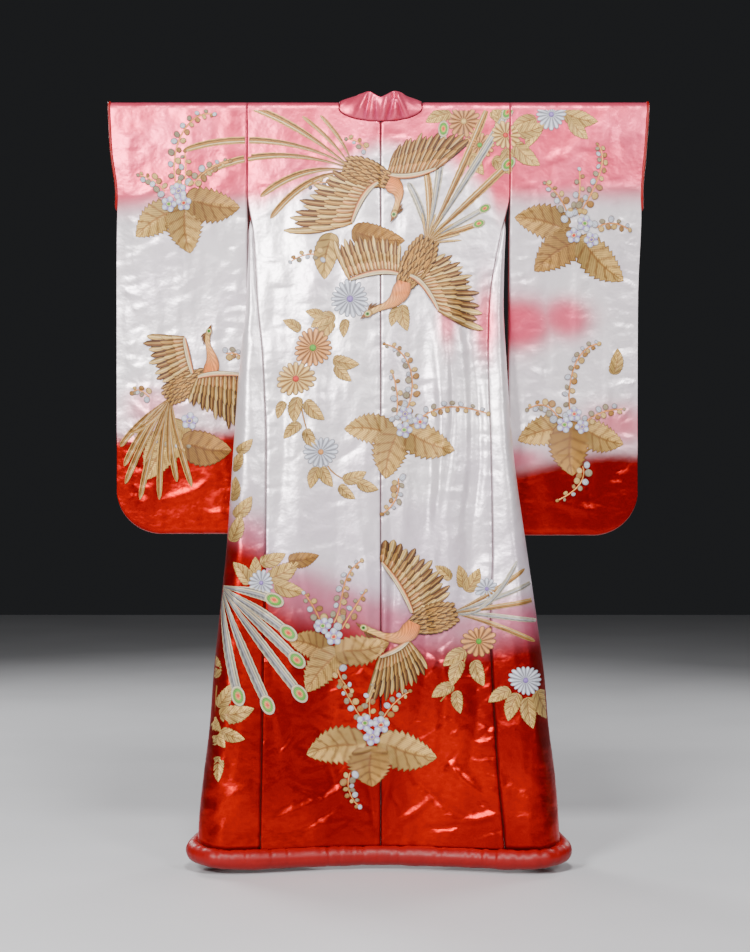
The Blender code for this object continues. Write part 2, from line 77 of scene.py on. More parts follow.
# z: height; left_edge and right_edge: each side's fold; left_seam and right_seam: side seams
OUTLINE_COLUMNS = ("z", "left_edge", "right_edge", "left_seam", "right_seam")
OUTLINE_ROWS = (
    (0.00, 0.3215, 0.3115, 0.3215, 0.3115),
    (-0.20, 0.3215, 0.3115, 0.3215, 0.3115),
    (-0.30, 0.3180, 0.3010, 0.3070, 0.2900),
    (-0.47, 0.3250, 0.2960, 0.2960, 0.2620),
    (-0.60, 0.3380, 0.3020, 0.2830, 0.2580),
    (-0.82, 0.3540, 0.3180, 0.2740, 0.2640),
    (-1.06, 0.3700, 0.3500, 0.2750, 0.2670),
    (-1.24, 0.3880, 0.3750, 0.2770, 0.2610),
    (-1.37, 0.4000, 0.3910, 0.2800, 0.2650),
    (-1.49, 0.4080, 0.4000, 0.2810, 0.2710),
    (-1.62, 0.4220, 0.4150, 0.2830, 0.2800),
    (-1.70, 0.4300, 0.4210, 0.2840, 0.2880),
    (-1.774, 0.4340, 0.4250, 0.2850, 0.2940),
)

# z: height; centre, side, fold, front, front_side: depths; okumi_seam, front_edge: distances from the middle
DEPTH_COLUMNS = ("z", "centre", "side", "fold", "front", "front_side", "okumi_seam", "front_edge")
DEPTH_ROWS = (
    (0.00, -0.0170, -0.0170, 0.0000, 0.0170, 0.0170, 0.1000, 0.1000),
    (-0.10, -0.0240, -0.0195, 0.0000, 0.0240, 0.0210, 0.0950, 0.0950),
    (-0.20, -0.0310, -0.0210, -0.0060, 0.0310, 0.0240, 0.0840, 0.0840),
    (-0.30, -0.0360, -0.0240, -0.0100, 0.0370, 0.0270, 0.0800, 0.0700),
    (-0.50, -0.0450, -0.0360, -0.0200, 0.0460, 0.0300, 0.1150, 0.0680),
    (-0.80, -0.0550, -0.0520, -0.0300, 0.0540, 0.0300, 0.1600, 0.0680),
    (-1.05, -0.0600, -0.0640, -0.0400, 0.0580, 0.0300, 0.2050, 0.0700),
    (-1.30, -0.0580, -0.0780, -0.0520, 0.0620, 0.0300, 0.2720, 0.1150),
    (-1.50, -0.0520, -0.0880, -0.0600, 0.0650, 0.0300, 0.3300, 0.1700),
    (-1.774, -0.0450, -0.1000, -0.0720, 0.0680, 0.0300, 0.3950, 0.2450),
)

# x: middle of the soft fold; top and bottom: heights where it fades; width: half width; out: depth moved
FOLD_COLUMNS = ("x", "top", "bottom", "width", "out")
BACK_FOLDS = (
    (0.160, -0.45, -1.30, 0.030, -0.0080),
    (0.215, -0.40, -1.20, 0.026, 0.0070),
    (0.090, -0.55, -1.25, 0.034, 0.0060),
    (-0.120, -0.80, -1.70, 0.050, 0.0060),
    (-0.200, -0.60, -1.40, 0.040, -0.0060),
    (0.180, -1.25, -1.77, 0.045, -0.0070),
)

# z: height; centre and gap: the sleeve's middle depth and its two layers' distance; cuff_gap: at the edge;
# left and right: each sleeve's outer edge
SLEEVE_COLUMNS = ("z", "centre", "gap", "cuff_gap", "left", "right")
SLEEVE_ROWS = (
    (0.000, 0.0000, 0.0340, 0.0340, 0.6520, 0.6420),
    (-0.100, 0.0008, 0.0400, 0.0380, 0.6465, 0.6350),
    (-0.205, 0.0020, 0.0440, 0.0300, 0.6345, 0.6275),
    (-0.260, 0.0100, 0.0440, 0.0080, 0.6380, 0.6310),
    (-0.450, 0.0360, 0.0370, 0.0068, 0.6425, 0.6265),
    (-0.700, 0.0500, 0.0360, 0.0068, 0.6440, 0.6270),
    (-1.027, 0.0580, 0.0300, 0.0068, 0.6450, 0.6285),
)

# x, z: middle of the crease; turn: degrees from level; long and wide: half length and half width; out: depth
CREASE_COLUMNS = ("x", "z", "turn", "long", "wide", "out")
CREASES = (
    (0.145, -0.78, 90, 0.36, 0.0100, -0.0046),
    (0.172, -0.72, 89, 0.30, 0.0090, 0.0049),
    (0.205, -0.74, 91, 0.34, 0.0110, -0.0051),
    (0.238, -0.80, 90, 0.30, 0.0080, 0.0041),
    (0.120, -0.86, 90, 0.24, 0.0100, 0.0030),
    (0.060, -0.92, 90, 0.26, 0.0160, -0.0032),
    (0.030, -1.14, 90, 0.30, 0.0100, 0.0049),
    (0.010, -1.20, 90, 0.28, 0.0080, -0.0041),
    (-0.030, -1.18, 91, 0.26, 0.0120, -0.0032),
    (-0.150, -0.70, 88, 0.22, 0.0180, -0.0030),
    (-0.230, -0.80, 90, 0.30, 0.0140, 0.0035),
    (0.105, -1.30, 88, 0.22, 0.0140, 0.0041),
    (0.150, -1.38, 92, 0.24, 0.0160, -0.0046),
    (0.225, -1.46, 86, 0.18, 0.0140, 0.0049),
    (-0.190, -1.16, 98, 0.16, 0.0130, 0.0041),
    (-0.100, -1.40, 84, 0.20, 0.0180, -0.0038),
    (-0.235, -1.52, 96, 0.16, 0.0140, -0.0041),
    (-0.340, -1.46, 86, 0.22, 0.0120, 0.0046),
    (-0.375, -1.20, 87, 0.22, 0.0100, -0.0035),
    (0.350, -1.40, 94, 0.24, 0.0130, 0.0046),
    (0.330, -1.16, 93, 0.16, 0.0100, -0.0035),
    (-0.105, -1.640, 38, 0.088, 0.0092, -0.0046),
    (-0.205, -1.685, 24, 0.075, 0.0083, -0.0055),
    (-0.150, -1.705, 30, 0.088, 0.0074, 0.0046),
    (-0.060, -1.655, -42, 0.075, 0.0083, 0.0042),
    (-0.255, -1.600, 40, 0.062, 0.0074, 0.0042),
    (0.080, -1.690, 35, 0.069, 0.0083, -0.0046),
    (0.130, -1.655, -40, 0.112, 0.0092, 0.0042),
    (0.190, -1.600, -44, 0.100, 0.0092, -0.0044),
    (0.235, -1.700, 12, 0.075, 0.0083, -0.0057),
    (0.150, -1.725, 8, 0.075, 0.0064, 0.0049),
    (0.020, -1.620, 80, 0.112, 0.0083, -0.0046),
    (-0.025, -1.650, 100, 0.100, 0.0074, 0.0042),
    (0.330, -1.620, -30, 0.075, 0.0092, 0.0049),
    (0.375, -1.560, -38, 0.050, 0.0072, -0.0024),
    (0.345, -1.700, 20, 0.062, 0.0083, -0.0049),
    (-0.345, -1.640, 34, 0.062, 0.0092, -0.0049),
    (-0.380, -1.700, 50, 0.062, 0.0083, 0.0044),
    (-0.320, -1.725, 18, 0.056, 0.0074, 0.0046),
    (0.040, -0.062, 3, 0.030, 0.0035, 0.0020),
    (0.055, -0.075, -8, 0.045, 0.0045, -0.0016),
    (-0.060, -0.085, 6, 0.050, 0.0050, -0.0016),
    (0.100, -0.110, 20, 0.060, 0.0070, -0.0018),
    (-0.180, -0.115, -24, 0.070, 0.0080, -0.0018),
    (0.230, -0.150, 30, 0.060, 0.0070, 0.0018),
    (-0.270, -0.250, 26, 0.040, 0.0060, -0.0020),
    (0.262, -0.262, -24, 0.040, 0.0060, -0.0020),
    (-0.255, -0.365, 3, 0.038, 0.0045, -0.0022),
    (0.230, -0.330, 2, 0.030, 0.0045, -0.0020),
    (-0.240, -0.520, 10, 0.034, 0.0050, -0.0016),
    (0.230, -0.560, -12, 0.034, 0.0050, -0.0018),
    (-0.110, -0.480, 16, 0.060, 0.0090, -0.0018),
    (-0.050, -0.640, -20, 0.070, 0.0100, 0.0018),
    (-0.130, -1.060, 12, 0.060, 0.0080, -0.0020),
)

# panel: which sleeve; the rest as for the creases above
SLEEVE_CREASES = (
    ("left", -0.470, -0.330, 88, 0.22, 0.012, -0.0026),
    ("left", -0.520, -0.560, 92, 0.30, 0.014, 0.0030),
    ("left", -0.400, -0.640, 90, 0.28, 0.013, -0.0030),
    ("left", -0.570, -0.760, 84, 0.20, 0.012, -0.0026),
    ("left", -0.360, -0.880, 95, 0.14, 0.010, 0.0026),
    ("left", -0.560, -0.200, 24, 0.050, 0.007, -0.0022),
    ("left", -0.400, -0.090, -30, 0.060, 0.008, -0.0022),
    ("left", -0.480, -0.930, 22, 0.080, 0.010, -0.0026),
    ("left", -0.590, -0.420, 14, 0.036, 0.005, 0.0020),
    ("left", -0.590, -0.620, -10, 0.036, 0.005, -0.0020),
    ("left", -0.345, -0.470, -12, 0.036, 0.005, 0.0020),
    ("right", 0.480, -0.400, 92, 0.26, 0.013, -0.0028),
    ("right", 0.405, -0.620, 88, 0.30, 0.013, 0.0030),
    ("right", 0.555, -0.620, 90, 0.28, 0.012, -0.0028),
    ("right", 0.350, -0.780, 86, 0.18, 0.010, -0.0026),
    ("right", 0.510, -0.900, 97, 0.16, 0.012, 0.0028),
    ("right", 0.430, -0.120, 26, 0.060, 0.008, -0.0022),
    ("right", 0.560, -0.240, -22, 0.050, 0.007, 0.0022),
    ("right", 0.470, -0.960, -16, 0.080, 0.010, -0.0026),
    ("right", 0.360, -0.330, 12, 0.040, 0.006, -0.0022),
    ("right", 0.590, -0.480, -12, 0.036, 0.005, 0.0020),
    ("right", 0.585, -0.760, 16, 0.040, 0.005, -0.0020),
)


def cubic(t, width, values, slopes, i):
    """Cubic pieces between rows i and i + 1 of the values, with the rows' slopes, at the share t between."""
    near = (2 * t**3 - 3 * t**2 + 1) * values[i] + (t**3 - 2 * t**2 + t) * width * slopes[i]
    return near + (3 * t**2 - 2 * t**3) * values[i + 1] + (t**3 - t**2) * width * slopes[i + 1]


def soft_table(columns, rows, key, at):
    """A table's column at any heights: cubic pieces through its rows, with slopes that never overshoot."""
    data = np.array(rows, float)
    data = data[np.argsort(data[:, 0])]
    knots, values = data[:, 0], data[:, columns.index(key)]
    width = np.diff(knots)
    rise = np.diff(values) / width
    slope = np.zeros(len(knots))
    same = rise[:-1] * rise[1:] > 0
    slope[1:-1] = np.where(same, 2 * rise[:-1] * rise[1:] / np.where(same, rise[:-1] + rise[1:], 1.0), 0.0)
    slope[0], slope[-1] = rise[0], rise[-1]
    at = np.clip(at, knots[0], knots[-1])
    i = np.clip(np.searchsorted(knots, at, side="right") - 1, 0, len(knots) - 2)
    return cubic((at - knots[i]) / width[i], width[i], values, slope, i)


def smooth(low, high, at):
    """A soft step from 0 at low to 1 at high."""
    t = np.clip((at - low) / (high - low), 0.0, 1.0)
    return t * t * (3.0 - 2.0 * t)


def blend(a, b, t):
    """From a to b by the share t."""
    return a + (b - a) * t


def unit(vectors):
    """Vectors brought to length 1."""
    return vectors / np.maximum(np.linalg.norm(vectors, axis=-1, keepdims=True), 1e-12)


def bell_curve(away, width):
    """1 in the middle, falling off to both sides over about the width."""
    return np.exp(-((away / width) ** 2))


def outline(side, key, z):
    """Distance from the middle of a side's seam or edge at each height."""
    return soft_table(OUTLINE_COLUMNS, OUTLINE_ROWS, f"{side}_{key}", z)


def depth(key, z):
    """One of the body's depths or front lines at each height."""
    return soft_table(DEPTH_COLUMNS, DEPTH_ROWS, key, z)


def fold_depth(x, z):
    """Sum of the large soft folds, each a bell across x that fades in and out with height."""
    total = np.zeros(np.broadcast(x, z).shape)
    for row in BACK_FOLDS:
        fold = dict(zip(FOLD_COLUMNS, row))
        fade = smooth(fold["top"] + 0.1, fold["top"] - 0.15, z)
        fade = fade * smooth(fold["bottom"] - 0.1, fold["bottom"] + 0.15, z)
        total = total + fold["out"] * fade * bell_curve(x - fold["x"], fold["width"])
    return total


def crease_sum(x, z, rows):
    """Sum of creases: a bell across each crease's line, times a round fade along it."""
    total = np.zeros(x.shape)
    for row in rows:
        crease = dict(zip(CREASE_COLUMNS, row))
        angle = np.radians(crease["turn"])
        across = -(x - crease["x"]) * np.sin(angle) + (z - crease["z"]) * np.cos(angle)
        along = (x - crease["x"]) * np.cos(angle) + (z - crease["z"]) * np.sin(angle)
        bend = 0.12 * along**2 / crease["long"]
        fade = np.clip(1.0 - (along / crease["long"]) ** 2, 0.0, 1.0) ** 2
        total += crease["out"] * fade * bell_curve(across - bend, crease["wide"])
    return total


def small_puckers(seed, count, low, high, turn, long, wide, out):
    """Rows of small creases at uneven places in a box from low to high, for crease_sum."""
    chance = np.random.default_rng(seed)
    x = chance.uniform(low[0], high[0], count)
    z = chance.uniform(low[1], high[1], count)
    turns = turn + chance.normal(0.0, 16.0, count)
    size = chance.uniform(0.6, 1.3, count)
    sign = chance.choice((-1.0, 1.0), count)
    return np.stack([x, z, turns, long * size, wide * size, out * size * sign], -1).tolist()


def seam_puckers(seed, side, count):
    """Small level creases that run out from a side seam, at uneven heights, as rows for crease_sum."""
    chance = np.random.default_rng(seed)
    z = np.sort(chance.uniform(-1.74, -0.33, count))
    x = outline(side, "seam", z) + chance.uniform(-0.016, 0.022, count)
    turns = chance.normal(-6.0, 12.0, count)
    long = chance.uniform(0.014, 0.036, count)
    wide = chance.uniform(0.0028, 0.0052, count)
    out = chance.uniform(0.0011, 0.0026, count) * chance.choice((-1.0, 1.0), count)
    sign = SIDES[side]
    return np.stack([sign * x, z, turns * sign, long, wide, out], -1).tolist()


# what small_puckers takes, for the back's lower part, its upper part and its centre seam
BODY_PUCKERS = (
    (5, 84, (-0.42, -1.76), (0.42, -1.26), 34.0, 0.046, 0.0046, 0.0019),
    (6, 64, (-0.42, -1.76), (0.42, -1.26), -38.0, 0.042, 0.0044, 0.0018),
    (9, 40, (-0.42, -1.76), (0.42, -1.40), 4.0, 0.036, 0.0040, 0.0016),
    (7, 60, (-0.29, -0.95), (0.27, -0.08), 12.0, 0.040, 0.0062, 0.0015),
    (8, 30, (-0.012, -1.70), (0.012, -0.10), 0.0, 0.020, 0.0040, 0.0014),
)
BODY_CREASES = list(CREASES) + seam_puckers(3, "left", 44) + seam_puckers(4, "right", 44)
for body_row in BODY_PUCKERS:
    BODY_CREASES += small_puckers(*body_row)

# count, near and far: distances from the middle, low and high: heights; then as small_puckers takes them
SLEEVE_PUCKERS = (
    (36, 0.575, 0.61, -0.98, -0.26, 4.0, 0.026, 0.0042, 0.0028),
    (30, 0.335, 0.375, -0.98, -0.06, -4.0, 0.026, 0.0042, 0.0027),
    (34, 0.36, 0.60, -1.00, -0.05, 14.0, 0.042, 0.0065, 0.0018),
)
SLEEVE_SEED = {"left": 20, "right": 30}


def sleeve_crease_rows(side):
    """The sleeve's listed creases with small puckers along its long edges and over its middle."""
    rows = [row[1:] for row in SLEEVE_CREASES if row[0] == side]
    for k, (count, near, far, low, high, *size) in enumerate(SLEEVE_PUCKERS):
        start, end = sorted((SIDES[side] * near, SIDES[side] * far))
        rows += small_puckers(SLEEVE_SEED[side] + k, count, (start, low), (end, high), *size)
    return rows


def body_relief(x, z):
    """Depth that creases and the seams' grooves add to the robe's back."""
    groove = CENTRE_GROOVE * bell_curve(x, GROOVE_WIDTH)
    for side, sign in SIDES.items():
        seam = sign * outline(side, "seam", z)
        groove = groove + SIDE_GROOVE * bell_curve(x - seam, GROOVE_WIDTH) * smooth(-0.28, -0.33, z)
    return (crease_sum(x, z, BODY_CREASES) + groove) * smooth(0.0, FLAT_ABOVE_Z, z)


def neck_x(z):
    """Half width of the back neck, a quarter ellipse."""
    return NECK_HALF_WIDTH * np.sqrt(np.clip(1.0 - (z / NECK_DROP) ** 2, 0.0, 1.0))


def through(points, count):
    """Smooth rows of points: cubic pieces through arrays of control points, at evenly spaced places."""
    stack = np.stack(points)
    lengths = np.linalg.norm(np.diff(stack, axis=0), axis=-1).reshape(len(points) - 1, -1).mean(1)
    steps = np.concatenate([[0.0], np.cumsum(lengths)])
    slope = np.gradient(stack, steps, axis=0)
    place = np.linspace(0.0, steps[-1], count)
    i = np.clip(np.searchsorted(steps, place, side="right") - 1, 0, len(points) - 2)
    width = (steps[i + 1] - steps[i]).reshape((-1,) + (1,) * (stack.ndim - 1))
    t = (place - steps[i]).reshape(width.shape) / width
    return np.moveaxis(cubic(t, width, stack, slope, i), 0, -2)


def back_surface(side, z):
    """The back panel: rows at each height from the centre seam or neck curve to the side, bowed in depth."""
    sign = SIDES[side]
    inner = np.where(z > -NECK_DROP, neck_x(z), 0.0) + GAP / 2
    outer = outline(side, "seam", z) - GAP / 2
    x = blend(inner[:, None], outer[:, None], np.linspace(0.0, 1.0, BODY_COLUMNS))
    height = np.broadcast_to(z[:, None], x.shape)
    share = np.clip(x / outer[:, None], 0.0, 1.0)
    y = blend(depth("centre", z)[:, None], depth("side", z)[:, None], share**BOW)
    y = y + fold_depth(sign * x, height) + body_relief(sign * x, height)
    return np.stack([sign * x, y, height], -1)


def hem_lift(z, share):
    """How far the front's hem rises: by soft steps down from mid length and across the first half of it."""
    return smooth(LIFT_START_Z, HEM_Z, z)[:, None] * HEM_LIFT * smooth(0.0, 0.45, share)


def front_surface(side, z, lift=True):
    """The front panel: rows at each height from the side seam, round the fold, flat to the overlap's seam."""
    sign = SIDES[side]
    seam = outline(side, "seam", z) + GAP / 2
    edge = outline(side, "edge", z)
    okumi = depth("okumi_seam", z) + GAP / 2
    closed = smooth(ARMHOLE_END_Z, SIDE_OPENING_END_Z, z)
    front = depth("front", z)
    side_y = depth("side", z) + fold_depth(sign * seam, z)
    fold_y = depth("fold", z)
    room = edge - seam
    corner_y = blend(side_y, fold_y, 0.12) - 0.10 * np.minimum(room, 0.15)
    flat_x = edge - blend(0.05, 0.060, smooth(SIDE_OPENING_END_Z, HEM_Z, z))
    far_slope = blend(0.30, 0.05, smooth(COLLAR_END_Z, HEM_Z, z))
    shut = (
        (seam, side_y),
        (seam + 0.72 * room, corner_y),
        (edge, fold_y),
        (edge - far_slope * (front - fold_y) - 0.004, blend(fold_y, front, 0.5)),
        (np.maximum(flat_x, okumi + 0.004), blend(fold_y, front, 0.9)),
    )
    points = []
    for step, (x, y) in enumerate(shut):
        share = step / (len(shut) - 1)
        open_y = blend(depth("front_side", z), front, share)
        open_x = edge - OPEN_EDGE_RUN * share
        points.append(np.stack([blend(open_x, x, closed), blend(open_y, y, closed), z], -1))
    wrap = through(points, WRAP_COLUMNS)
    t = np.linspace(0.0, 1.0, BODY_COLUMNS - WRAP_COLUMNS + 1)[1:]
    x = blend(wrap[:, -1:, 0], okumi[:, None], t)
    y = blend(wrap[:, -1:, 1], front[:, None], smooth(0.0, 1.0, t))
    flat = np.stack([x, y, np.broadcast_to(z[:, None], x.shape)], -1)
    surface = np.concatenate([wrap, flat], axis=1)
    facing = smooth(0.55, 0.30, np.linspace(0.0, 1.0, BODY_COLUMNS)) * closed[:, None]
    surface[..., 0] *= sign
    surface[..., 1] += body_relief(surface[..., 0], surface[..., 2]) * facing
    hang = 0.0035 * np.sin(surface[..., 0] * 74.0 + 1.3 * sign) * smooth(-0.25, -0.9, surface[..., 2])
    surface[..., 1] += hang * (1.0 - facing) * smooth(0.35, 0.7, np.linspace(0.0, 1.0, BODY_COLUMNS))
    if lift:
        surface[..., 2] += hem_lift(z, np.linspace(0.0, BODY_SHARE, BODY_COLUMNS))
    return surface


def okumi_surface(side, z, columns=36):
    """The overlap panel: rows at each height from its seam to the front edge, lifted at the hem."""
    sign = SIDES[side]
    t = np.linspace(0.0, 1.0, columns)
    x = blend((depth("okumi_seam", z) - GAP / 2)[:, None], depth("front_edge", z)[:, None], t)
    height = np.broadcast_to(z[:, None], x.shape) + 0.0
    y = depth("front", z)[:, None] + 0.0025 * np.sin(x * 70.0 + 0.7) * smooth(-0.4, -1.0, height)
    return np.stack([sign * x, y, height + hem_lift(z, blend(BODY_SHARE, 1.0, t))], -1)


def back_heights():
    """Heights of the back's rows, even from the hem to the neck and closer round the neck curve."""
    below = np.linspace(HEM_Z, -NECK_DROP - 0.004, 318)
    neck = -NECK_DROP * np.cos(np.radians(np.linspace(0.0, 84.0, 14)))
    return np.concatenate([below, neck])


def front_heights():
    """Heights of the front's rows, closer above the armhole's end."""
    return np.concatenate([np.linspace(-0.008, -0.36, 50), np.linspace(-0.37, HEM_Z, 100)])


def over_rod(x, angle):
    """Rows over the rod: half circles from back to front as the angle grows from 0 to pi."""
    y, z = -ROD_CLOTH_RADIUS * np.cos(angle), ROD_CLOTH_RADIUS * np.sin(angle)
    return np.stack(np.broadcast_arrays(x, y, z), -1)


def body_sheet(side):
    """One length of cloth: the back's rows, half circles over the rod, then the front's rows downwards."""
    outer = outline(side, "edge", 0.0) - GAP / 2
    x = SIDES[side] * blend(NECK_HALF_WIDTH, outer, np.linspace(0.0, 1.0, BODY_COLUMNS))
    over = over_rod(x, np.linspace(0.0, np.pi, 11)[:, None])
    front = front_surface(side, front_heights())[:, ::-1]
    return np.concatenate([back_surface(side, back_heights()), over, front])


def sleeve(key, z):
    """One of the sleeve's measures at each height."""
    return soft_table(SLEEVE_COLUMNS, SLEEVE_ROWS, key, z)


def sleeve_share(side, x, z):
    """How far out a place lies: 0 at the sleeve's inner edge and 1 at its outer edge."""
    start = SLEEVE_SEAM[side] + GAP / 2
    return np.clip((np.abs(x) - start) / (sleeve(side, z) - start), 0.0, 1.0)


def sleeve_half_gap(z, weight):
    """Half the distance of the two layers, blended by weight towards that at the outer edge."""
    return blend(sleeve("gap", z), sleeve("cuff_gap", z), weight) / 2


def sleeve_sheet(side, columns=74, rows=150, low_steps=9):
    """The sleeve: closed loops over the rod, down the back, round the bottom and up the front.

    The bottom rises to the outer edge on a quarter circle. The two layers close towards the outer edge.
    """
    sign = SIDES[side]
    start = SLEEVE_SEAM[side] + GAP / 2
    share = 1.0 - (1.0 - np.linspace(0.0, 1.0, columns)) ** 1.35
    away = (sleeve(side, SLEEVE_BOTTOM[side]) - start) * (1.0 - share)
    missing = np.clip(SLEEVE_CORNER_RADIUS - away, 0.0, SLEEVE_CORNER_RADIUS)
    rise = SLEEVE_CORNER_RADIUS - np.sqrt(SLEEVE_CORNER_RADIUS**2 - missing**2 * 0.985)
    bottom = SLEEVE_BOTTOM[side] + rise
    weight = share**3
    low = sleeve_half_gap(bottom, weight)
    down = np.linspace(0.0, 1.0, rows)[1:, None]
    z = (bottom + low) * down
    creases = sleeve_crease_rows(side)
    x = blend(start, sleeve(side, z), share)
    half = sleeve_half_gap(z, weight)
    fade = smooth(0.0, FLAT_ABOVE_Z, z) * smooth(0.0, 0.05, z - bottom)
    relief = crease_sum(sign * x, z, creases) * fade
    back = np.stack([sign * x, sleeve("centre", z) - half + relief, z], -1)
    front = np.stack([sign * x, sleeve("centre", z) + half - 0.4 * relief, z], -1)
    x = sign * blend(start, sleeve(side, 0.0), share)
    top = over_rod(x, np.linspace(np.pi, 0.0, 13)[:, None])
    under = np.linspace(0.0, np.pi, low_steps)[1:-1, None]
    y = sleeve("centre", bottom) - low * np.cos(under)
    z = bottom + low - low * np.sin(under)
    turn = np.stack([sign * blend(start, sleeve(side, z), share), y, z], -1)
    return np.concatenate([top, back, turn, front[::-1]])


class Signal:
    """One output of a finish's nodes. Arithmetic on it adds Math nodes."""

    def __init__(self, finish, socket):
        self.finish = finish
        self.socket = socket

    def math(self, operation, first, second):
        """A Math node on two signals or numbers."""
        return self.finish.node("ShaderNodeMath", {"operation": operation}, {0: first, 1: second})

    def __add__(self, other):
        return self.math("ADD", self, other)

    __radd__ = __add__

    def __sub__(self, other):
        return self.math("SUBTRACT", self, other)

    def __rsub__(self, other):
        return self.math("SUBTRACT", other, self)

    def __mul__(self, other):
        return self.math("MULTIPLY", self, other)

    __rmul__ = __mul__

    def sine(self):
        """The sine of it, for thread lines."""
        return self.finish.node("ShaderNodeMath", {"operation": "SINE"}, {0: self})

    def step(self, low, high):
        """A soft step from 0 at low to 1 at high."""
        values = {"Value": self, "From Min": low, "From Max": high}
        return self.finish.node("ShaderNodeMapRange", {"interpolation_type": "SMOOTHSTEP"}, values)


class Finish:
    """One material and its nodes."""

    def __init__(self, name, **constants):
        self.material = bpy.data.materials.new(name)
        self.material.use_nodes = True
        self.tree = self.material.node_tree
        self.shader = self.tree.nodes["Principled BSDF"]
        for key, value in constants.items():
            self.shader.inputs[key.replace("_", " ")].default_value = value

    def node(self, kind, settings=None, values=None, output=0):
        """A new node of that type, with its settings and the values or links of its sockets."""
        made = self.tree.nodes.new(kind)
        for key, value in (settings or {}).items():
            setattr(made, key, value)
        for key, value in (values or {}).items():
            if isinstance(value, Signal):
                self.tree.links.new(value.socket, made.inputs[key])
            else:
                made.inputs[key].default_value = value
        return Signal(self, made.outputs[output])

    def attribute(self, name, output=2):
        """One of the piece's own attributes: its factor, or its colour at output 0."""
        return self.node("ShaderNodeAttribute", {"attribute_name": name}, output=output)

    def place(self, stretch):
        """The object's own coordinates, stretched along the axes."""
        where = self.node("ShaderNodeTexCoord", output=3)
        return self.node("ShaderNodeMapping", {}, {"Vector": where, "Scale": stretch})

    def noise(self, scale, stretch=(1.0, 1.0, 1.0), detail=3.0, roughness=0.5, kind="FBM"):
        """Soft noise over the object's own coordinates, stretched along the axes."""
        values = {"Vector": self.place(stretch), "Scale": scale, "Detail": detail, "Roughness": roughness}
        return self.node("ShaderNodeTexNoise", {"noise_type": kind}, values)

    def ridges(self, scale, stretch):
        """Sharp crossing ridges, for crumpled cloth."""
        return self.noise(scale, stretch, 2.0, 0.45, "RIDGED_MULTIFRACTAL")

    def mix(self, factor, first, second, blend_type="MIX"):
        """Two colours mixed by a factor."""
        settings = {"data_type": "RGBA", "blend_type": blend_type}
        return self.node("ShaderNodeMix", settings, {0: factor, 6: first, 7: second}, output=2)

    def bump(self, height, strength, distance):
        """A normal from a height, with its distance in metres."""
        return self.node("ShaderNodeBump", {}, {"Height": height, "Strength": strength, "Distance": distance})

    def feed(self, **sockets):
        """Links what varies to the shader's sockets and gives the material."""
        for key, value in sockets.items():
            self.tree.links.new(value.socket, self.shader.inputs[key.replace("_", " ")])
        return self.material


def tone(*values):
    """A tint given as it looks on screen, as linear light."""
    return np.array(values) ** 2.2


def dye(red, green, blue):
    """A socket's colour, given as it looks on screen."""
    return (*tone(red, green, blue).tolist(), 1.0)


WHITE = dye(0.97, 0.93, 0.94)
LILAC = dye(0.87, 0.78, 0.86)
# Painted shade along the seams, the hem and under the collar.
PAINTED_SEAM_SHADE = dye(0.36, 0.10, 0.11)
PINK = dye(0.88, 0.27, 0.38)
PALE_PINK = dye(0.90, 0.34, 0.45)
MAUVE = dye(0.72, 0.22, 0.36)
RED = dye(0.84, 0.085, 0.016)
DEEP_RED = dye(0.62, 0.034, 0.009)
# Painted shade: darker red patches standing in for the satin's changing reflection.
PAINTED_SHADE_RED = dye(0.57, 0.022, 0.008)


def satin_finish():
    """Dyed satin: white, pink, lilac, mauve and red by the dye attributes, with crumples, painted shade along
    the seams and hem, and patches of painted shade in the red.
    """
    finish = Finish("satin_dyed", Sheen_Weight=0.03, Specular_IOR_Level=0.5)
    soft = finish.noise(9.0, detail=4.0)
    fine = finish.noise(60.0, (1.0, 1.0, 1.6), 3.0)
    thread = finish.noise(700.0, (2.2, 1.0, 0.12), 2.0)
    lilac = finish.attribute("lilac") + (soft - 0.5) * 0.5
    colour = finish.mix(lilac.step(0.0, 1.0), WHITE, LILAC)
    pink = finish.attribute("pink") + (soft - 0.5) * 0.35
    rose = finish.mix(soft.step(0.3, 0.7), PINK, PALE_PINK)
    colour = finish.mix(pink.step(0.0, 1.0), colour, rose)
    mauve = finish.attribute("mauve") + (soft - 0.5) * 0.3
    colour = finish.mix(mauve.step(0.0, 1.0), colour, MAUVE)
    red = (finish.attribute("red") + (fine - 0.5) * 0.12).step(0.05, 0.95)
    # Large darker-red patches: painted shade standing in for the satin's changing reflection.
    painted_shade_patches = finish.noise(4.2, (1.0, 1.0, 0.7), 1.5, 0.5)
    crimson = finish.mix(painted_shade_patches.step(0.30, 0.66), PAINTED_SHADE_RED, finish.mix(fine, DEEP_RED, RED))
    colour = finish.mix(red, colour, crimson)
    # Painted shade along the seams, the hem and under the collar, from the seam attribute.
    seam = finish.attribute("seam")
    colour = finish.mix(seam * 0.88, colour, PAINTED_SEAM_SHADE)
    broad = finish.noise(6.0, (1.7, 1.0, 0.6), 2.0)
    small = finish.ridges(21.0, (0.7, 1.0, 1.1))
    crumple = finish.ridges(9.0, (1.0, 0.6, 0.85)) * 0.6 + small * 0.30
    patch = finish.noise(5.0, detail=2.0).step(0.38, 0.62)
    strength = 0.55 + patch * 0.55 - red * 0.20
    height = crumple * strength + broad * 1.6 + soft * 0.9 + fine * 0.05 + thread * 0.006
    rough = 0.31 + fine * 0.06 + thread * 0.04 - red * 0.03
    metal = 0.56 + red * 0.34
    normal = finish.bump(height, 1.0, 0.0085)
    return finish.feed(Base_Color=colour, Roughness=rough, Metallic=metal, Normal=normal)


def lining_finish():
    """Dark red silk lining with faint streaks."""
    finish = Finish("lining_red", Sheen_Weight=0.1)
    streak = finish.noise(30.0, (1.0, 1.0, 0.3))
    colour = finish.mix(streak, dye(0.42, 0.02, 0.02), dye(0.60, 0.05, 0.03))
    normal = finish.bump(streak, 0.2, 0.001)
    return finish.feed(Base_Color=colour, Roughness=0.42 + streak * 0.1, Normal=normal)


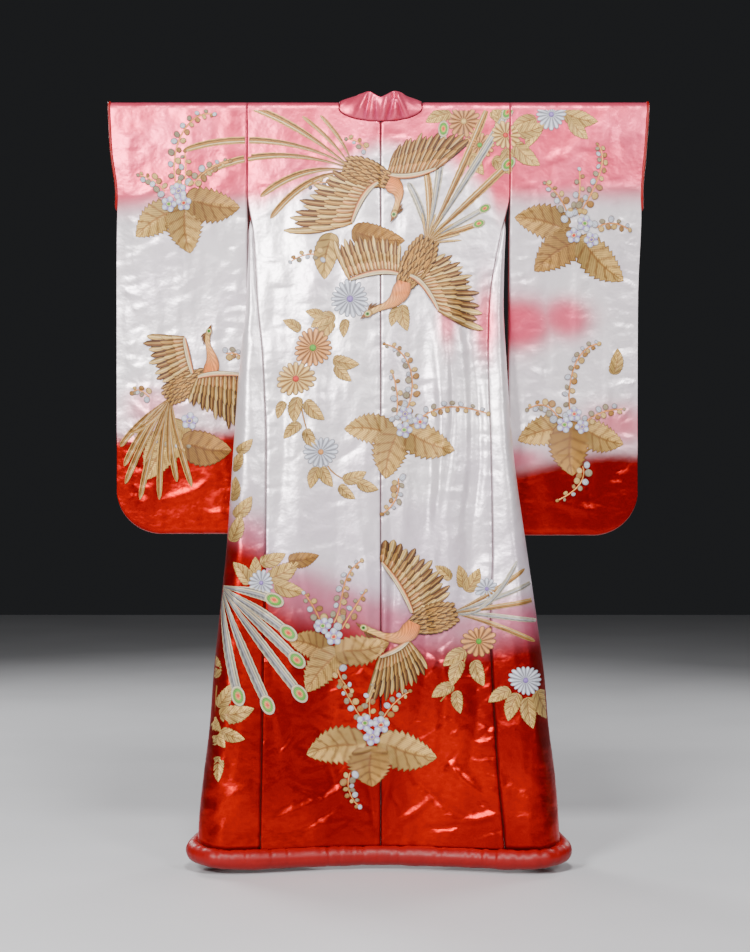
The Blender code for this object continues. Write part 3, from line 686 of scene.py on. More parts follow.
def padded_finish():
    """Wadded red silk: crimson with soft streaks and small wrinkles."""
    finish = Finish("padded_red", Specular_IOR_Level=0.35)
    soft = finish.noise(22.0, detail=3.0)
    fine = finish.noise(150.0, (1.0, 1.0, 0.6), 3.0)
    colour = finish.mix(soft * 0.6 + fine * 0.4, dye(0.44, 0.010, 0.018), dye(0.60, 0.030, 0.030))
    normal = finish.bump(fine * 0.6 + soft * 0.4, 0.5, 0.0016)
    return finish.feed(Base_Color=colour, Roughness=0.38 + fine * 0.12, Normal=normal)


def stitched_finish(name, metallic, roughness):
    """Raised stitching: the motif's own tints with thread lines across them painted as light and dark bands,
    painted sheen and shade of the strands, from the thread attribute.
    """
    finish = Finish(name, Sheen_Weight=0.1)
    tint = finish.attribute("tint", 0)
    line = finish.attribute("thread")
    wave = (line * 4.2).sine() * 0.5 + 0.5
    strand = (line * 1.15).sine()
    patch = finish.noise(90.0, detail=2.0)
    # Wave and strand: the thread lines as painted sheen and shade of the strands; patch: uneven tone.
    shade = wave * 0.24 + strand * 0.22 + patch * 0.46 + 0.50
    even = finish.node("ShaderNodeCombineColor", {}, {0: shade, 1: shade, 2: shade})
    colour = finish.mix(1.0, tint, even, "MULTIPLY")
    rough = roughness + patch * 0.15
    shine = metallic + patch * 0.1
    normal = finish.bump(wave, 0.45, 0.0005)
    return finish.feed(Base_Color=colour, Roughness=rough, Metallic=shine, Normal=normal)


def rod_finish():
    """Plain brown wood with grain along the rod."""
    finish = Finish("rod_wood")
    grain = finish.noise(14.0, (0.08, 1.0, 1.0), 4.0, 0.6)
    fine = finish.noise(160.0, (0.03, 1.0, 1.0), 2.0)
    colour = finish.mix(grain * 0.7 + fine * 0.3, dye(0.34, 0.21, 0.12), dye(0.58, 0.40, 0.25))
    normal = finish.bump(fine, 0.15, 0.0005)
    return finish.feed(Base_Color=colour, Roughness=0.42 + fine * 0.15, Normal=normal)


def floor_finish():
    """Pale floor with a faint unevenness."""
    finish = Finish("floor_pale")
    soft = finish.noise(2.0)
    colour = finish.mix(soft, dye(0.74, 0.74, 0.75), dye(0.79, 0.79, 0.80))
    return finish.feed(Base_Color=colour, Roughness=0.55 + soft * 0.1)


def put_mesh(name, points, faces, material, attributes=(), colours=None):
    """A mesh object at the origin from arrays of points and quads, smooth shaded, with its attributes."""
    mesh = bpy.data.meshes.new(name)
    mesh.from_pydata(points.reshape(-1, 3).tolist(), [], faces.tolist())
    mesh.polygons.foreach_set("use_smooth", np.ones(len(mesh.polygons), bool))
    for key, values in attributes:
        layer = mesh.attributes.new(key, "FLOAT", "POINT")
        layer.data.foreach_set("value", np.ascontiguousarray(values, np.float32).ravel())
    if colours is not None:
        layer = mesh.attributes.new("tint", "FLOAT_COLOR", "POINT")
        whole = np.concatenate([colours.reshape(-1, 3), np.ones((colours.size // 3, 1))], 1)
        layer.data.foreach_set("color", whole.astype(np.float32).ravel())
    mesh.materials.append(material)
    mesh.update()
    item = bpy.data.objects.new(name, mesh)
    bpy.context.scene.collection.objects.link(item)
    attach(item, "root")
    return item


def grid_quads(rows, columns, wrap_rows=False, wrap_columns=False):
    """Quads of a grid of points numbered row by row."""
    r = np.arange(rows if wrap_rows else rows - 1)[:, None] * columns
    c = np.arange(columns if wrap_columns else columns - 1)[None]
    below, beside = (r + columns) % (rows * columns), (c + 1) % columns
    return np.stack([r + c, r + beside, below + beside, below + c], -1).reshape(-1, 4)


# x: across the plan; start and full: plan rows where the red begins and is full; pink: where the pink ends
DYE_COLUMNS = ("x", "start", "full", "pink")
BODY_DYE = (
    (200, 512, 560, 232),
    (264, 522, 570, 228),
    (270, 560, 640, 222),
    (330, 585, 650, 196),
    (380, 600, 668, 168),
    (430, 612, 684, 172),
    (486, 616, 668, 214),
    (500, 606, 664, 232),
    (560, 608, 660, 236),
)

# side: which piece; x, y: middle of the soft dyed patch on the plan; across, down: its size; pink: strength
PATCH_COLUMNS = ("side", "x", "y", "across", "down", "pink")
PINK_PATCHES = (
    ("body", 447, 318, 13, 40, 0.75),
    ("body", 486, 322, 16, 46, 0.85),
    ("body", 465, 300, 30, 14, 0.45),
    ("body", 230, 640, 40, 50, 0.20),
    ("left", 150, 405, 40, 26, 0.55),
    ("left", 215, 400, 30, 30, 0.35),
    ("right", 518, 322, 46, 32, 1.00),
    ("right", 568, 316, 34, 26, 0.85),
    ("right", 622, 424, 44, 26, 0.75),
    ("right", 520, 460, 30, 14, 0.60),
)


def wander(x, y, seed):
    """A slow uneven wave over the plan, between -1 and 1, from a few crossing sines."""
    chance = np.random.default_rng(seed)
    total = np.zeros(np.broadcast(x, y).shape)
    for _ in range(5):
        a, b, c = chance.uniform(-0.07, 0.07), chance.uniform(-0.07, 0.07), chance.uniform(0.0, 6.3)
        total = total + np.sin(a * x + b * y + c)
    return total / 5.0


def dye_amounts(side, points):
    """How much red, pink, mauve and lilac each point of a piece takes, by soft steps down the plan."""
    x, y = points[..., 0] / PLAN + PLAN_MIDDLE, PLAN_TOP - points[..., 2] / PLAN
    drift = wander(x, y, 9 if side == "body" else 11)
    if side == "body":
        start, full, pink_end = (soft_table(DYE_COLUMNS, BODY_DYE, key, x) for key in DYE_COLUMNS[1:])
    else:
        out = np.abs(points[..., 0])
        start = 418.0 if side == "left" else blend(456.0, 436.0, smooth(0.32, 0.60, out))
        full = start + (30.0 if side == "left" else 32.0)
        pink_end = 226.0 if side == "left" else 216.0
    red = smooth(start + 9 * drift, full + 9 * drift, y)
    pink = 1.0 - smooth(pink_end - 44 + 8 * drift, pink_end + 4 + 8 * drift, y)
    for row in PINK_PATCHES:
        patch = dict(zip(PATCH_COLUMNS, row))
        if patch["side"] == side:
            far = ((x - patch["x"]) / patch["across"]) ** 2 + ((y - patch["y"]) / patch["down"]) ** 2
            pink = np.maximum(pink, patch["pink"] * np.exp(-(far**1.3)))
    mauve = smooth(start - 34 + 10 * drift, start + 14 + 10 * drift, y)
    mauve = mauve * (0.72 if side == "body" else 0.35)
    lilac = 0.22 + 0.2 * drift + 0.35 * smooth(440, 600, y) * (1.0 if side == "body" else 0.0)
    return (("red", red), ("pink", pink), ("mauve", mauve), ("lilac", lilac))


satin = satin_finish()
lining = lining_finish()
padded_red = padded_finish()


def painted_seam_shade_amount(points, closed=False):
    """Painted shade along seams: near 1 on a sheet's first edge and hem, fading over some millimetres; weaker
    at its last edge.
    """
    first = np.linalg.norm(points - points[:, :1], axis=-1)
    if closed:
        return 0.55 * bell_curve(first, 0.0014)
    last = np.linalg.norm(points - points[:, -1:], axis=-1)
    hem = 0.7 * np.abs(points[..., 2] - HEM_Z)
    amount = np.maximum(bell_curve(first, SEAM_WIDTH), 0.60 * bell_curve(last, 0.0013))
    return np.maximum(amount, bell_curve(hem, SEAM_WIDTH))


def put_sheet(name, points, side, node, wrap_rows=False):
    """A cloth piece: its outer surface with the dye and painted seam shade, thickened inwards, and lined in
    red.
    """
    rows, columns = points.shape[:2]
    faces = grid_quads(rows, columns, wrap_rows=wrap_rows)
    corner = points.reshape(-1, 3)[faces]
    normal = np.cross(corner[:, 1] - corner[:, 0], corner[:, 2] - corner[:, 0])
    low = corner[:, :, 2].mean(1)
    looks_back = normal[(corner[:, :, 1].mean(1) < np.median(corner[:, :, 1])) & (low < -0.05), 1].mean()
    if node.startswith("okumi"):
        looks_back = -normal[:, 1].mean()
    if looks_back > 0:
        faces = faces[:, ::-1]
    # The seam attribute carries painted shade along the seams and the hem.
    seams = ("seam", painted_seam_shade_amount(points, wrap_rows))
    item = put_mesh(name, points, faces, satin, dye_amounts(side, points) + (seams,))
    item.data.materials.append(lining)
    shell = item.modifiers.new("thickness", "SOLIDIFY")
    shell.thickness = SHELL
    shell.offset = -1.0
    shell.material_offset = 1
    shell.material_offset_rim = 1
    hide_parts(node)
    return item


cloth = {}
okumi_heights = np.linspace(SIDE_OPENING_END_Z, HEM_Z, 120)
for side_name in SIDES:
    body = cloth[f"body_{side_name}"] = body_sheet(side_name)
    put_sheet(f"cloth_body_{side_name}", body, "body", f"body_{side_name}")
    overlap = okumi_surface(side_name, okumi_heights)
    put_sheet(f"cloth_okumi_{side_name}", overlap, "body", f"okumi_{side_name}")
    loops = cloth[f"sleeve_{side_name}"] = sleeve_sheet(side_name)
    put_sheet(f"cloth_sleeve_{side_name}", loops, side_name, f"sleeve_{side_name}", True)


# turn: place along the neck seam, 0 at the centre back, 1 and 2 at the shoulder's edges, 3 at the band
NECK_EDGE_COLUMNS = ("turn", "x", "y", "z")
NECK_EDGE_ROWS = (
    (0.00, 0.000, -0.0330, 0.0250),
    (0.35, 0.032, -0.0290, 0.0360),
    (0.70, 0.052, -0.0210, 0.0330),
    (1.00, 0.056, -0.0110, 0.0310),
    (1.50, 0.054, 0.0060, 0.0330),
    (2.00, 0.048, 0.0240, 0.0150),
    (3.00, 0.040, 0.0300, -0.0400),
)
BAND_WIDTH = 0.056
BAND_START_Z = -0.06


def collar_half(side):
    """The neck seam and the band's free edge, from the centre back round to the band's lower end."""
    sign = SIDES[side]
    angle = np.radians(np.linspace(0.0, 86.0, 30))
    z = -NECK_DROP * np.cos(angle)
    share = neck_x(z) / outline(side, "seam", z)
    y = blend(depth("centre", z), depth("side", z), share**BOW)
    back = np.stack([neck_x(z), y, z], -1)
    over = np.linspace(0.0, np.pi, 16)
    z = np.linspace(-0.005, COLLAR_END_Z, 130)
    below_tip = smooth(SIDE_OPENING_END_Z, SIDE_OPENING_END_Z - 0.030, z)
    edge = blend(depth("okumi_seam", z), depth("front_edge", z), below_tip)
    front = np.stack([edge, depth("front", z) - 0.0012, z], -1)
    seam = np.concatenate([back, over_rod(NECK_HALF_WIDTH, over), front])
    down = 2.0 + np.clip(z / BAND_START_Z, 0.0, 1.0)
    turn = np.concatenate([np.degrees(angle) / 90.0, 1.0 + over / np.pi, down])
    free = np.stack([soft_table(NECK_EDGE_COLUMNS, NECK_EDGE_ROWS, key, turn) for key in ("x", "y", "z")], -1)
    straight = np.stack([edge - BAND_WIDTH, front[:, 1] + 0.002, z], -1)
    late = smooth(BAND_START_Z * 0.7, BAND_START_Z * 1.4, z)[:, None]
    free[-len(z) :] = blend(free[-len(z) :], straight, late)
    seam[:, 0] *= sign
    free[:, 0] *= sign
    return seam, free


# middle: x of the fold at the neck seam; lean: its move over by the free edge; width and out: its size
COLLAR_FOLDS = (
    (0.004, 0.010, 0.0050, 0.0075),
    (0.016, 0.020, 0.0065, -0.0080),
    (0.034, 0.004, 0.0060, 0.0050),
    (0.056, -0.026, 0.0055, -0.0070),
    (0.066, -0.030, 0.0050, 0.0050),
    (-0.010, -0.006, 0.0060, -0.0060),
    (-0.026, 0.010, 0.0065, 0.0050),
    (-0.040, 0.016, 0.0055, -0.0065),
    (-0.062, 0.030, 0.0060, 0.0050),
)


def collar_band(columns=34):
    """The band: a thin oval profile carried along the neck seam, puffed into two lobes behind the neck.

    Also gives how far each place lies in a fold's trough and on its crest, both from 0 to 1, for painted
    shade in the troughs and a painted highlight on the crests.
    """
    left_seam, left_free = collar_half("left")
    right_seam, right_free = collar_half("right")
    seam = np.concatenate([left_seam[:0:-1], right_seam])
    free = np.concatenate([left_free[:0:-1], right_free])
    seam[:, 1] -= 0.0006
    along = unit(np.gradient(seam, axis=0) + np.gradient(free, axis=0))
    toward = free - seam
    outward = unit(np.cross(along, unit(toward)))
    angle = np.linspace(0.0, 2 * np.pi, columns, endpoint=False)
    share = 0.5 - 0.5 * np.cos(angle)
    thick = 0.0030 * np.sign(np.sin(angle)) * np.abs(np.sin(angle)) ** 0.45
    base = seam[:, None] + toward[:, None] * (0.012 + 0.988 * share)[None, :, None]
    surface = base + outward[:, None] * thick[None, :, None]
    x = surface[..., 0]
    behind = smooth(0.004, -0.010, surface[..., 1]) * smooth(-0.05, -0.028, surface[..., 2])
    across = np.broadcast_to(share, x.shape)
    lobe = 0.0100 * bell_curve(x - 0.036, 0.026) + 0.0080 * bell_curve(x + 0.040, 0.030)
    folds = np.zeros(x.shape)
    for middle, lean, width, out in COLLAR_FOLDS:
        folds = folds + out * bell_curve(x - middle - lean * across, width)
    puff = (lobe * np.sin(np.pi * across) ** 0.7 + folds * np.sin(np.pi * across) ** 0.5) * behind
    surface = surface + np.stack([0 * x, -puff, 0 * x], -1)
    rise = 0.0045 * bell_curve(x - 0.040, 0.022) + 0.0035 * bell_curve(x + 0.026, 0.012)
    surface[..., 2] += rise * across * behind
    # Painted shade in the fold troughs and a painted highlight on the crests behind the neck.
    shade = np.clip(-folds / 0.006, 0.0, 1.0) * behind * np.sin(np.pi * across) ** 0.5
    light = np.clip(folds / 0.008, 0.0, 1.0) * behind * smooth(0.030, 0.008, np.abs(x - 0.010))
    return surface, shade, light


def capped_tube(surface):
    """Points and faces of a closed tube from rings of points, each end closed by a fan of quads in pairs."""
    rings, sides = surface.shape[:2]
    faces = grid_quads(rings, sides, wrap_columns=True)
    half = sides // 2
    i = np.arange(half - 1)
    first = np.stack([i + 1, i, (sides - i) % sides, sides - i - 1], -1)
    last = first[:, ::-1] + (rings - 1) * sides
    points = surface.reshape(-1, 3)
    found = np.concatenate([faces, first, last])
    corner = points[found]
    normal = np.cross(corner[:, 2] - corner[:, 0], corner[:, 3] - corner[:, 1])
    inside_out = (corner.mean(1) * normal).sum() < 0
    return points, found[:, ::-1] if inside_out else found


band, band_painted_shade, band_painted_highlight = collar_band()
band_points, band_faces = capped_tube(band)
band_dye_and_painted_light = dict(dye_amounts("body", band_points))
behind_neck = smooth(-0.06, -0.03, band_points[:, 2])
# Behind the neck the collar's mauve in the fold troughs is painted shade, and its pink lessened on the crests
# is a painted highlight.
band_dye_and_painted_light["mauve"] = blend(band_dye_and_painted_light["mauve"], 0.22 + 0.75 * band_painted_shade.ravel(), behind_neck)
band_dye_and_painted_light["pink"] = np.clip(band_dye_and_painted_light["pink"] + behind_neck - 0.9 * band_painted_highlight.ravel(), 0.0, 1.0)
# Painted shade under the collar along its neck seam.
near_seam = np.linalg.norm(band - band[:, :1], axis=-1).ravel()
band_dye_and_painted_light["seam"] = bell_curve(near_seam, 0.004) * behind_neck
collar = put_mesh("cloth_collar", band_points, band_faces, satin, tuple(band_dye_and_painted_light.items()))
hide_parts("collar")


def lengths_along(line):
    """How far along a line each of its points lies."""
    return np.concatenate([[0.0], np.cumsum(np.linalg.norm(np.diff(line, axis=0), axis=1))])


def cuff_tube(side, sides=16):
    """The cuff's padded edge: a small round profile carried up the back, over the top and down the front."""
    loop = cloth[f"sleeve_{side}"][:, -1]
    keep = np.flatnonzero(loop[:, 2] > CUFF_END_Z)
    cut = int(np.argmax(np.diff(keep))) + 1
    outward = np.array([SIDES[side], 0.0, 0.0])
    path = loop[np.concatenate([keep[cut:], keep[:cut]])] + outward * 0.0028
    along = unit(np.gradient(path, axis=0))
    across = unit(np.cross(along, outward))
    away = unit(np.cross(across, along))
    steps = lengths_along(path)
    angle = 2 * np.pi * np.arange(sides) / sides
    ends = np.minimum(steps, steps[-1] - steps)
    gather = 1.0 + 0.07 * np.sin(steps * 900.0) * np.sin(steps * 173.0 + 1.0)
    radius = CUFF_RADIUS * gather * (0.35 + 0.65 * smooth(0.0, 0.006, ends))
    ring = np.cos(angle)[None, :, None] * across[:, None] + np.sin(angle)[None, :, None] * away[:, None]
    return path[:, None] + ring * radius[:, None, None]


for side_name in SIDES:
    edge_points, edge_faces = capped_tube(cuff_tube(side_name))
    cuff = put_mesh(f"padded_cuff_{side_name}", edge_points, edge_faces, padded_red)
    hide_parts(f"cuff_{side_name}")


def hem_line():
    """The cloth's lowest edge, from the left front edge round the back to the right front edge."""
    halves = []
    for side in SIDES:
        sheet = cloth[f"body_{side}"]
        overlap_edge = okumi_surface(side, np.array([HEM_Z]))[0]
        halves.append(np.concatenate([sheet[0], sheet[-1, -2::-1], overlap_edge[1:]]))
    return np.concatenate([halves[0][::-1], halves[1][1:]])


def hem_roll(sides=26, count=620):
    """The wadded roll: an oval carried along the hem, with uneven gathers that pinch it in at the seam."""
    line = hem_line()
    steps = lengths_along(line)
    place = np.linspace(0.0, steps[-1], count)
    path = np.stack([np.interp(place, steps, line[:, k]) for k in range(3)], -1)
    reach = 12
    kernel = np.hanning(2 * reach + 1)
    kernel /= kernel.sum()
    path = np.pad(path, ((reach, reach), (0, 0)), mode="reflect", reflect_type="odd")
    path = np.stack([np.convolve(path[:, k], kernel, mode="valid") for k in range(3)], -1)
    along = unit(np.gradient(path, axis=0) * np.array([1.0, 1.0, 0.0]))
    outward = np.stack([along[:, 1], -along[:, 0], np.zeros(count)], -1)
    chance = np.random.default_rng(12)
    gathers = np.zeros(count)
    for where in np.sort(chance.uniform(0.02, steps[-1] - 0.02, 96)):
        size = chance.uniform(0.3, 1.3)
        gathers += size * bell_curve(place - where, chance.uniform(0.0030, 0.0090))
    end = np.minimum(place, steps[-1] - place)
    scale = blend(0.45, 1.0, np.sqrt(smooth(0.0, 0.045, end)))
    angle = 2 * np.pi * np.arange(sides) / sides
    upness = 0.5 + 0.5 * np.sin(angle)
    pinch = 1.0 - 0.075 * np.clip(gathers, 0, 1.6)[:, None] * (0.45 + 0.55 * upness[None]) ** 1.3
    slow = 1.0 + 0.025 * np.sin(place * 31.0)[:, None] + 0.018 * np.sin(place * 83.0 + 1.0)[:, None]
    size = scale[:, None] * pinch * slow
    up = np.array([0.0, 0.0, 1.0])
    centre = path - up * (0.0190 * scale[:, None]) + outward * 0.008
    upward = up * (0.0235 * np.sin(angle))[None, :, None] * size[..., None]
    sideways = outward[:, None] * (0.0225 * np.cos(angle))[None, :, None] * size[..., None]
    return centre[:, None] + upward + sideways


roll_points, roll_faces = capped_tube(hem_roll())
roll = put_mesh("padded_hem_roll", roll_points, roll_faces, padded_red)
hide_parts("hem_roll")

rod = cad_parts["rod"]
rod.data.materials.clear()
rod.data.materials.append(rod_finish())


GROUND_STEP = 0.0015
GROUND_TOP_Z = -0.002


class Ground:
    """Depth of the cloth's back at any place of the plan, for one panel, read between rows of its surface."""

    def __init__(self, panel):
        self.x = np.arange(-0.700, 0.7001, GROUND_STEP)
        self.z = np.linspace(HEM_Z, GROUND_TOP_Z, 460)
        self.low = np.zeros(len(self.z))
        self.high = np.zeros(len(self.z))
        self.y = np.zeros((len(self.z), len(self.x)))
        if panel == "body":
            self.read_body()
        else:
            self.read_sleeve(panel)

    def read_body(self):
        """Depths between the two folds, row by row, from both back panels and the wraps beside them."""
        halves = {}
        for side in SIDES:
            wrap = front_surface(side, self.z, lift=False)
            halves[side] = np.concatenate([back_surface(side, self.z), wrap], axis=1)
        for i, (left, right) in enumerate(zip(halves["left"][:, ::-1], halves["right"])):
            row = np.concatenate([left[np.argmin(left[:, 0]) :], right[: np.argmax(right[:, 0]) + 1]])
            row = row[np.argsort(row[:, 0], kind="stable")]
            self.low[i], self.high[i] = row[0, 0] + GROUND_STEP, row[-1, 0] - GROUND_STEP
            self.y[i] = np.interp(self.x, row[:, 0], row[:, 1])
        top = self.z > SIDE_OPENING_END_Z
        for edge, side, sign in ((self.low, "left", -1.0), (self.high, "right", 1.0)):
            edge[top] = sign * (outline(side, "seam", self.z[top]) - 0.001)

    def read_sleeve(self, side):
        """Depths of the sleeve's back layer, and its edges with the round corner cut away."""
        sign = SIDES[side]
        x, z = np.meshgrid(self.x, self.z)
        weight = sleeve_share(side, x, z) ** 3
        relief = crease_sum(x, z, sleeve_crease_rows(side)) * smooth(0.0, FLAT_ABOVE_Z, z)
        bottom = SLEEVE_BOTTOM[side]
        self.y = sleeve("centre", z) - sleeve_half_gap(z, weight) + relief
        near, far = sign * (SLEEVE_SEAM[side] + 0.001), sign * (sleeve(side, self.z) - 0.002)
        drop = np.clip(self.z - bottom - 0.004, 0.0, SLEEVE_CORNER_RADIUS)
        cut = SLEEVE_CORNER_RADIUS - np.sqrt(SLEEVE_CORNER_RADIUS**2 - (SLEEVE_CORNER_RADIUS - drop) ** 2)
        far = far - sign * cut
        self.low, self.high = (far, near + 0 * far) if side == "left" else (near + 0 * far, far)
        gone = self.z < bottom + 0.006
        self.low[gone], self.high[gone] = 1.0, -1.0

    def lay(self, across, up, rise):
        """Points on the cloth at plan places, moved out by rise, and whether each lies on this panel."""
        j = np.clip((across - self.x[0]) / (self.x[1] - self.x[0]), 0, len(self.x) - 1.001)
        i = np.clip((up - self.z[0]) / (self.z[1] - self.z[0]), 0, len(self.z) - 1.001)
        a, b = i.astype(int), j.astype(int)
        s, t = i - a, j - b
        y = (1 - s) * ((1 - t) * self.y[a, b] + t * self.y[a, b + 1])
        y = y + s * ((1 - t) * self.y[a + 1, b] + t * self.y[a + 1, b + 1])
        on = (across > np.interp(up, self.z, self.low)) & (across < np.interp(up, self.z, self.high))
        on &= (up > HEM_Z + 0.004) & (up < GROUND_TOP_Z)
        return np.stack([across, y - rise, up], -1), on


GOLD_PALE = tone(0.86, 0.69, 0.38)
GOLD = tone(0.66, 0.46, 0.20)
GOLD_DEEP = tone(0.47, 0.29, 0.12)
BROWN = tone(0.37, 0.22, 0.10)
DARK = tone(0.22, 0.13, 0.07)
ORANGE = tone(0.84, 0.44, 0.18)
APRICOT = tone(0.86, 0.57, 0.30)
SILVER = tone(0.78, 0.79, 0.84)
GREY = tone(0.45, 0.44, 0.47)
IVORY = tone(0.86, 0.78, 0.60)
OLIVE = tone(0.60, 0.54, 0.42)
VIOLET = tone(0.56, 0.44, 0.74)
GREEN = tone(0.34, 0.62, 0.16)
VERMILION = tone(0.84, 0.16, 0.07)
# shares of the half width at which a ribbon has its points
SPREAD = np.array([-1.0, -0.88, -0.6, -0.34, -0.12, 0.12, 0.34, 0.6, 0.88, 1.0])
# metres: from one layer of stitching to the next, and the rise of one layer
LAYER = 0.00034
RISE = 0.00058


class Stitching:
    """Collects stitched shapes drawn on the plan, and lays them on the panels as raised meshes."""

    def __init__(self):
        self.shapes = {"gold": [], "silk": []}

    def add(self, panel, x, y, rise, colours, thread, kind="gold", closed=False):
        """One grid of plan places with its rise in metres, tints and thread lines in millimetres."""
        self.shapes[kind].append((panel, x, y, rise, colours, thread, closed))

    def build(self, name, kind, panel_name, ground, material):
        """All shapes of one kind on a panel as one mesh. Faces past the panel's edge are left out."""
        points, faces, colours, threads, start = [], [], [], [], 0
        for panel, x, y, rise, colour, thread, closed in self.shapes[kind]:
            if panel_name not in panel.split():
                continue
            where, on = ground.lay((x - PLAN_MIDDLE) * PLAN, (PLAN_TOP - y) * PLAN, rise + 0.0004)
            quads = grid_quads(*x.shape, wrap_columns=closed)
            quads = quads[on.ravel()[quads].all(1)]
            if not len(quads):
                continue
            corner = where.reshape(-1, 3)[quads]
            facing = np.cross(corner[:, 2] - corner[:, 0], corner[:, 3] - corner[:, 1])[:, 1].sum()
            quads = quads[:, ::-1] if facing > 0 else quads
            points.append(where.reshape(-1, 3))
            faces.append(quads + start)
            colours.append(np.broadcast_to(colour, x.shape + (3,)).reshape(-1, 3))
            threads.append(np.broadcast_to(thread, x.shape).ravel())
            start += x.size
        points, faces = np.concatenate(points), np.concatenate(faces)
        used, faces = np.unique(faces, return_inverse=True)
        faces = faces.reshape(-1, 4)
        lines = (("thread", np.concatenate(threads)[used]),)
        item = put_mesh(name, points[used], faces, material, lines, np.concatenate(colours)[used])
        return item


work = Stitching()


def bezier(points, count):
    """count places along a curve with two to four control points, by halving between them in turn."""
    t = np.linspace(0.0, 1.0, count)[:, None]
    rows = [np.array(point, float) for point in points]
    while len(rows) > 1:
        rows = [blend(near, far, t) for near, far in zip(rows, rows[1:])]
    return rows[0]


def mixed(a, b, share):
    """Tints from a to b by a share at each place."""
    return a + (b - a) * np.clip(share, 0.0, 1.0)[..., None]


def flat_tint(tint):
    """One tint all over."""
    return lambda t, s: tint


def edged(inner, edge, at=0.9):
    """A tint function with a darker rim round the given tints."""
    return lambda t, s: mixed(inner(t, s), edge, smooth(at - 0.2, at, np.abs(s)))


def plume_tints(root, tip, shaft, edge):
    """A feather's tints: root to tip along it, a pale shaft, darker halves beside it and a dark rim."""

    def inner(t, s):
        base = mixed(root, tip, t**1.1)
        ends = smooth(0.15, 0.35, np.abs(s)) * smooth(0.95, 0.55, np.abs(s))
        half = mixed(base, base * 0.55, ends * (s > 0) + 0.35 * ends * (s < 0))
        return mixed(half, shaft, smooth(0.17, 0.07, np.abs(s)) * 0.70)

    return edged(inner, edge)


def bands(*stops):
    """Tints in rings: pairs of how far out each ends and its tint."""

    def tints(out, _angle):
        found = stops[0][1]
        for (end, _), (_, following) in zip(stops, stops[1:]):
            found = mixed(found, following, smooth(end - 0.05, end + 0.05, out))
        return found

    return tints


def ribbon(panel, path, width, tints, rise=0.7, layer=0, kind="gold", slant=0.0):
    """A flat-topped shape carried along a path: half width per place, stitched lengthwise or at a slant."""
    along = unit(np.gradient(path, axis=0))
    t, s = np.meshgrid(np.linspace(0.0, 1.0, len(path)), SPREAD, indexing="ij")
    reach = width[:, None] * s
    x = path[:, :1] - along[:, 1:] * reach
    y = path[:, 1:] + along[:, :1] * reach
    size = np.minimum(width[:, None] / 2.0, 1.0)
    lift = LAYER * layer + rise * RISE * np.sqrt(np.clip(1.0 - s**4, 0.0, 1.0)) * size
    length = np.linalg.norm(np.diff(path, axis=0), axis=1).sum()
    thread = (reach + slant * (t * length - np.abs(reach) * 1.2)) * PLAN_MM
    work.add(panel, x, y, lift, tints(t, s), thread, kind)


def plume(panel, path, wide, tints, rise=0.7, layer=0, count=12):
    """One feather along a curve: narrow at its root, widest past the middle and round at its tip."""
    t = np.linspace(0.0, 1.0, count)
    width = wide * (0.50 + 0.50 * smooth(0.0, 0.6, t)) * np.sqrt(1.0 - 0.97 * t**7)
    ribbon(panel, bezier(path, count), width, tints, rise, layer)


def ring_grid(rings, sides, inner=0.02):
    """Rings of places: how far out each lies, up to 1, and its angle."""
    angle = np.linspace(0.0, 2 * np.pi, sides, endpoint=False)
    return np.meshgrid(np.linspace(inner, 1.0, rings), angle, indexing="ij")


def dome(panel, place, across, tall, turn, tints, rise=1.0, layer=0, rings=6, sides=14):
    """A rounded oval from rings, its tints given by the share out from the middle."""
    out, angle = ring_grid(rings, sides)
    u, v = across * out * np.cos(angle), tall * out * np.sin(angle)
    lean = np.radians(turn)
    x = place[0] + u * np.cos(lean) + v * np.sin(lean)
    y = place[1] - u * np.sin(lean) + v * np.cos(lean)
    lift = LAYER * layer + rise * RISE * np.sqrt(np.clip(1.0 - out**2.4, 0.0, 1.0))
    work.add(panel, x, y, lift, tints(out, angle), u * PLAN_MM * 1.5, "silk", True)


def leaf(panel, x, y, turn, long, wide, light, dark=BROWN, layer=0, veins=5, teeth=0.20, heart=0.05):
    """A toothed leaf: a grid from its stalk to its point, with sunk side veins and a sunk midrib.

    The half width is a skewed sine cut by small teeth; the base falls back beside the stalk by heart.
    """
    t, s = np.meshgrid(np.linspace(0.0, 1.0, 44), np.linspace(-1.0, 1.0, 19), indexing="ij")
    angle = np.radians(turn)
    saw = 1.0 - teeth * np.mod(t * (veins * 2 + 1), 1.0) * smooth(0.05, 0.2, t)
    width = wide * 2.31 * t**0.45 * (1.0 - t) ** 0.85 * saw + 0.02
    along = long * (t - heart * np.abs(s) ** 1.5 * (1 - t) ** 3)
    across = width * s + 0.06 * long * np.sin(np.pi * t)
    px = x + np.cos(angle) * along + np.sin(angle) * across
    py = y - np.sin(angle) * along + np.cos(angle) * across
    slant = np.mod(t * veins - np.abs(s) ** 0.85 * 1.25 + 0.35, 1.0)
    vein = smooth(0.16, 0.04, np.minimum(slant, 1.0 - slant)) * smooth(0.96, 0.85, np.abs(s))
    rib = smooth(0.10, 0.04, np.abs(s)) * (t < 0.97)
    rim = np.maximum(smooth(0.90, 0.98, np.abs(s)), smooth(0.975, 1.0, t))
    tints = mixed(light, light * 0.78, smooth(-0.05, 0.05, s))
    tints = mixed(tints, tints * 0.60, smooth(0.80, 0.05, t) * 0.9)
    for tint, share in ((dark, vein * 0.80), (dark * 1.3, rib * 0.85), (dark * 0.85, rim)):
        tints = mixed(tints, tint, share)
    lift = LAYER * layer + RISE * (1.0 - s**6) ** 0.5 - 0.4 * RISE * vein - 0.3 * RISE * rib
    work.add(panel, px, py, lift, tints, (along * 0.8 - np.abs(across)) * PLAN_MM)


def small_leaves(panel, rows, layer=0):
    """Narrow leaves from rows of x, y, turn and length."""
    for x, y, turn, long in rows:
        leaf(panel, x, y, turn, long, long * 0.30, GOLD_PALE, GOLD_DEEP * 0.8, layer, 4, 0.16)


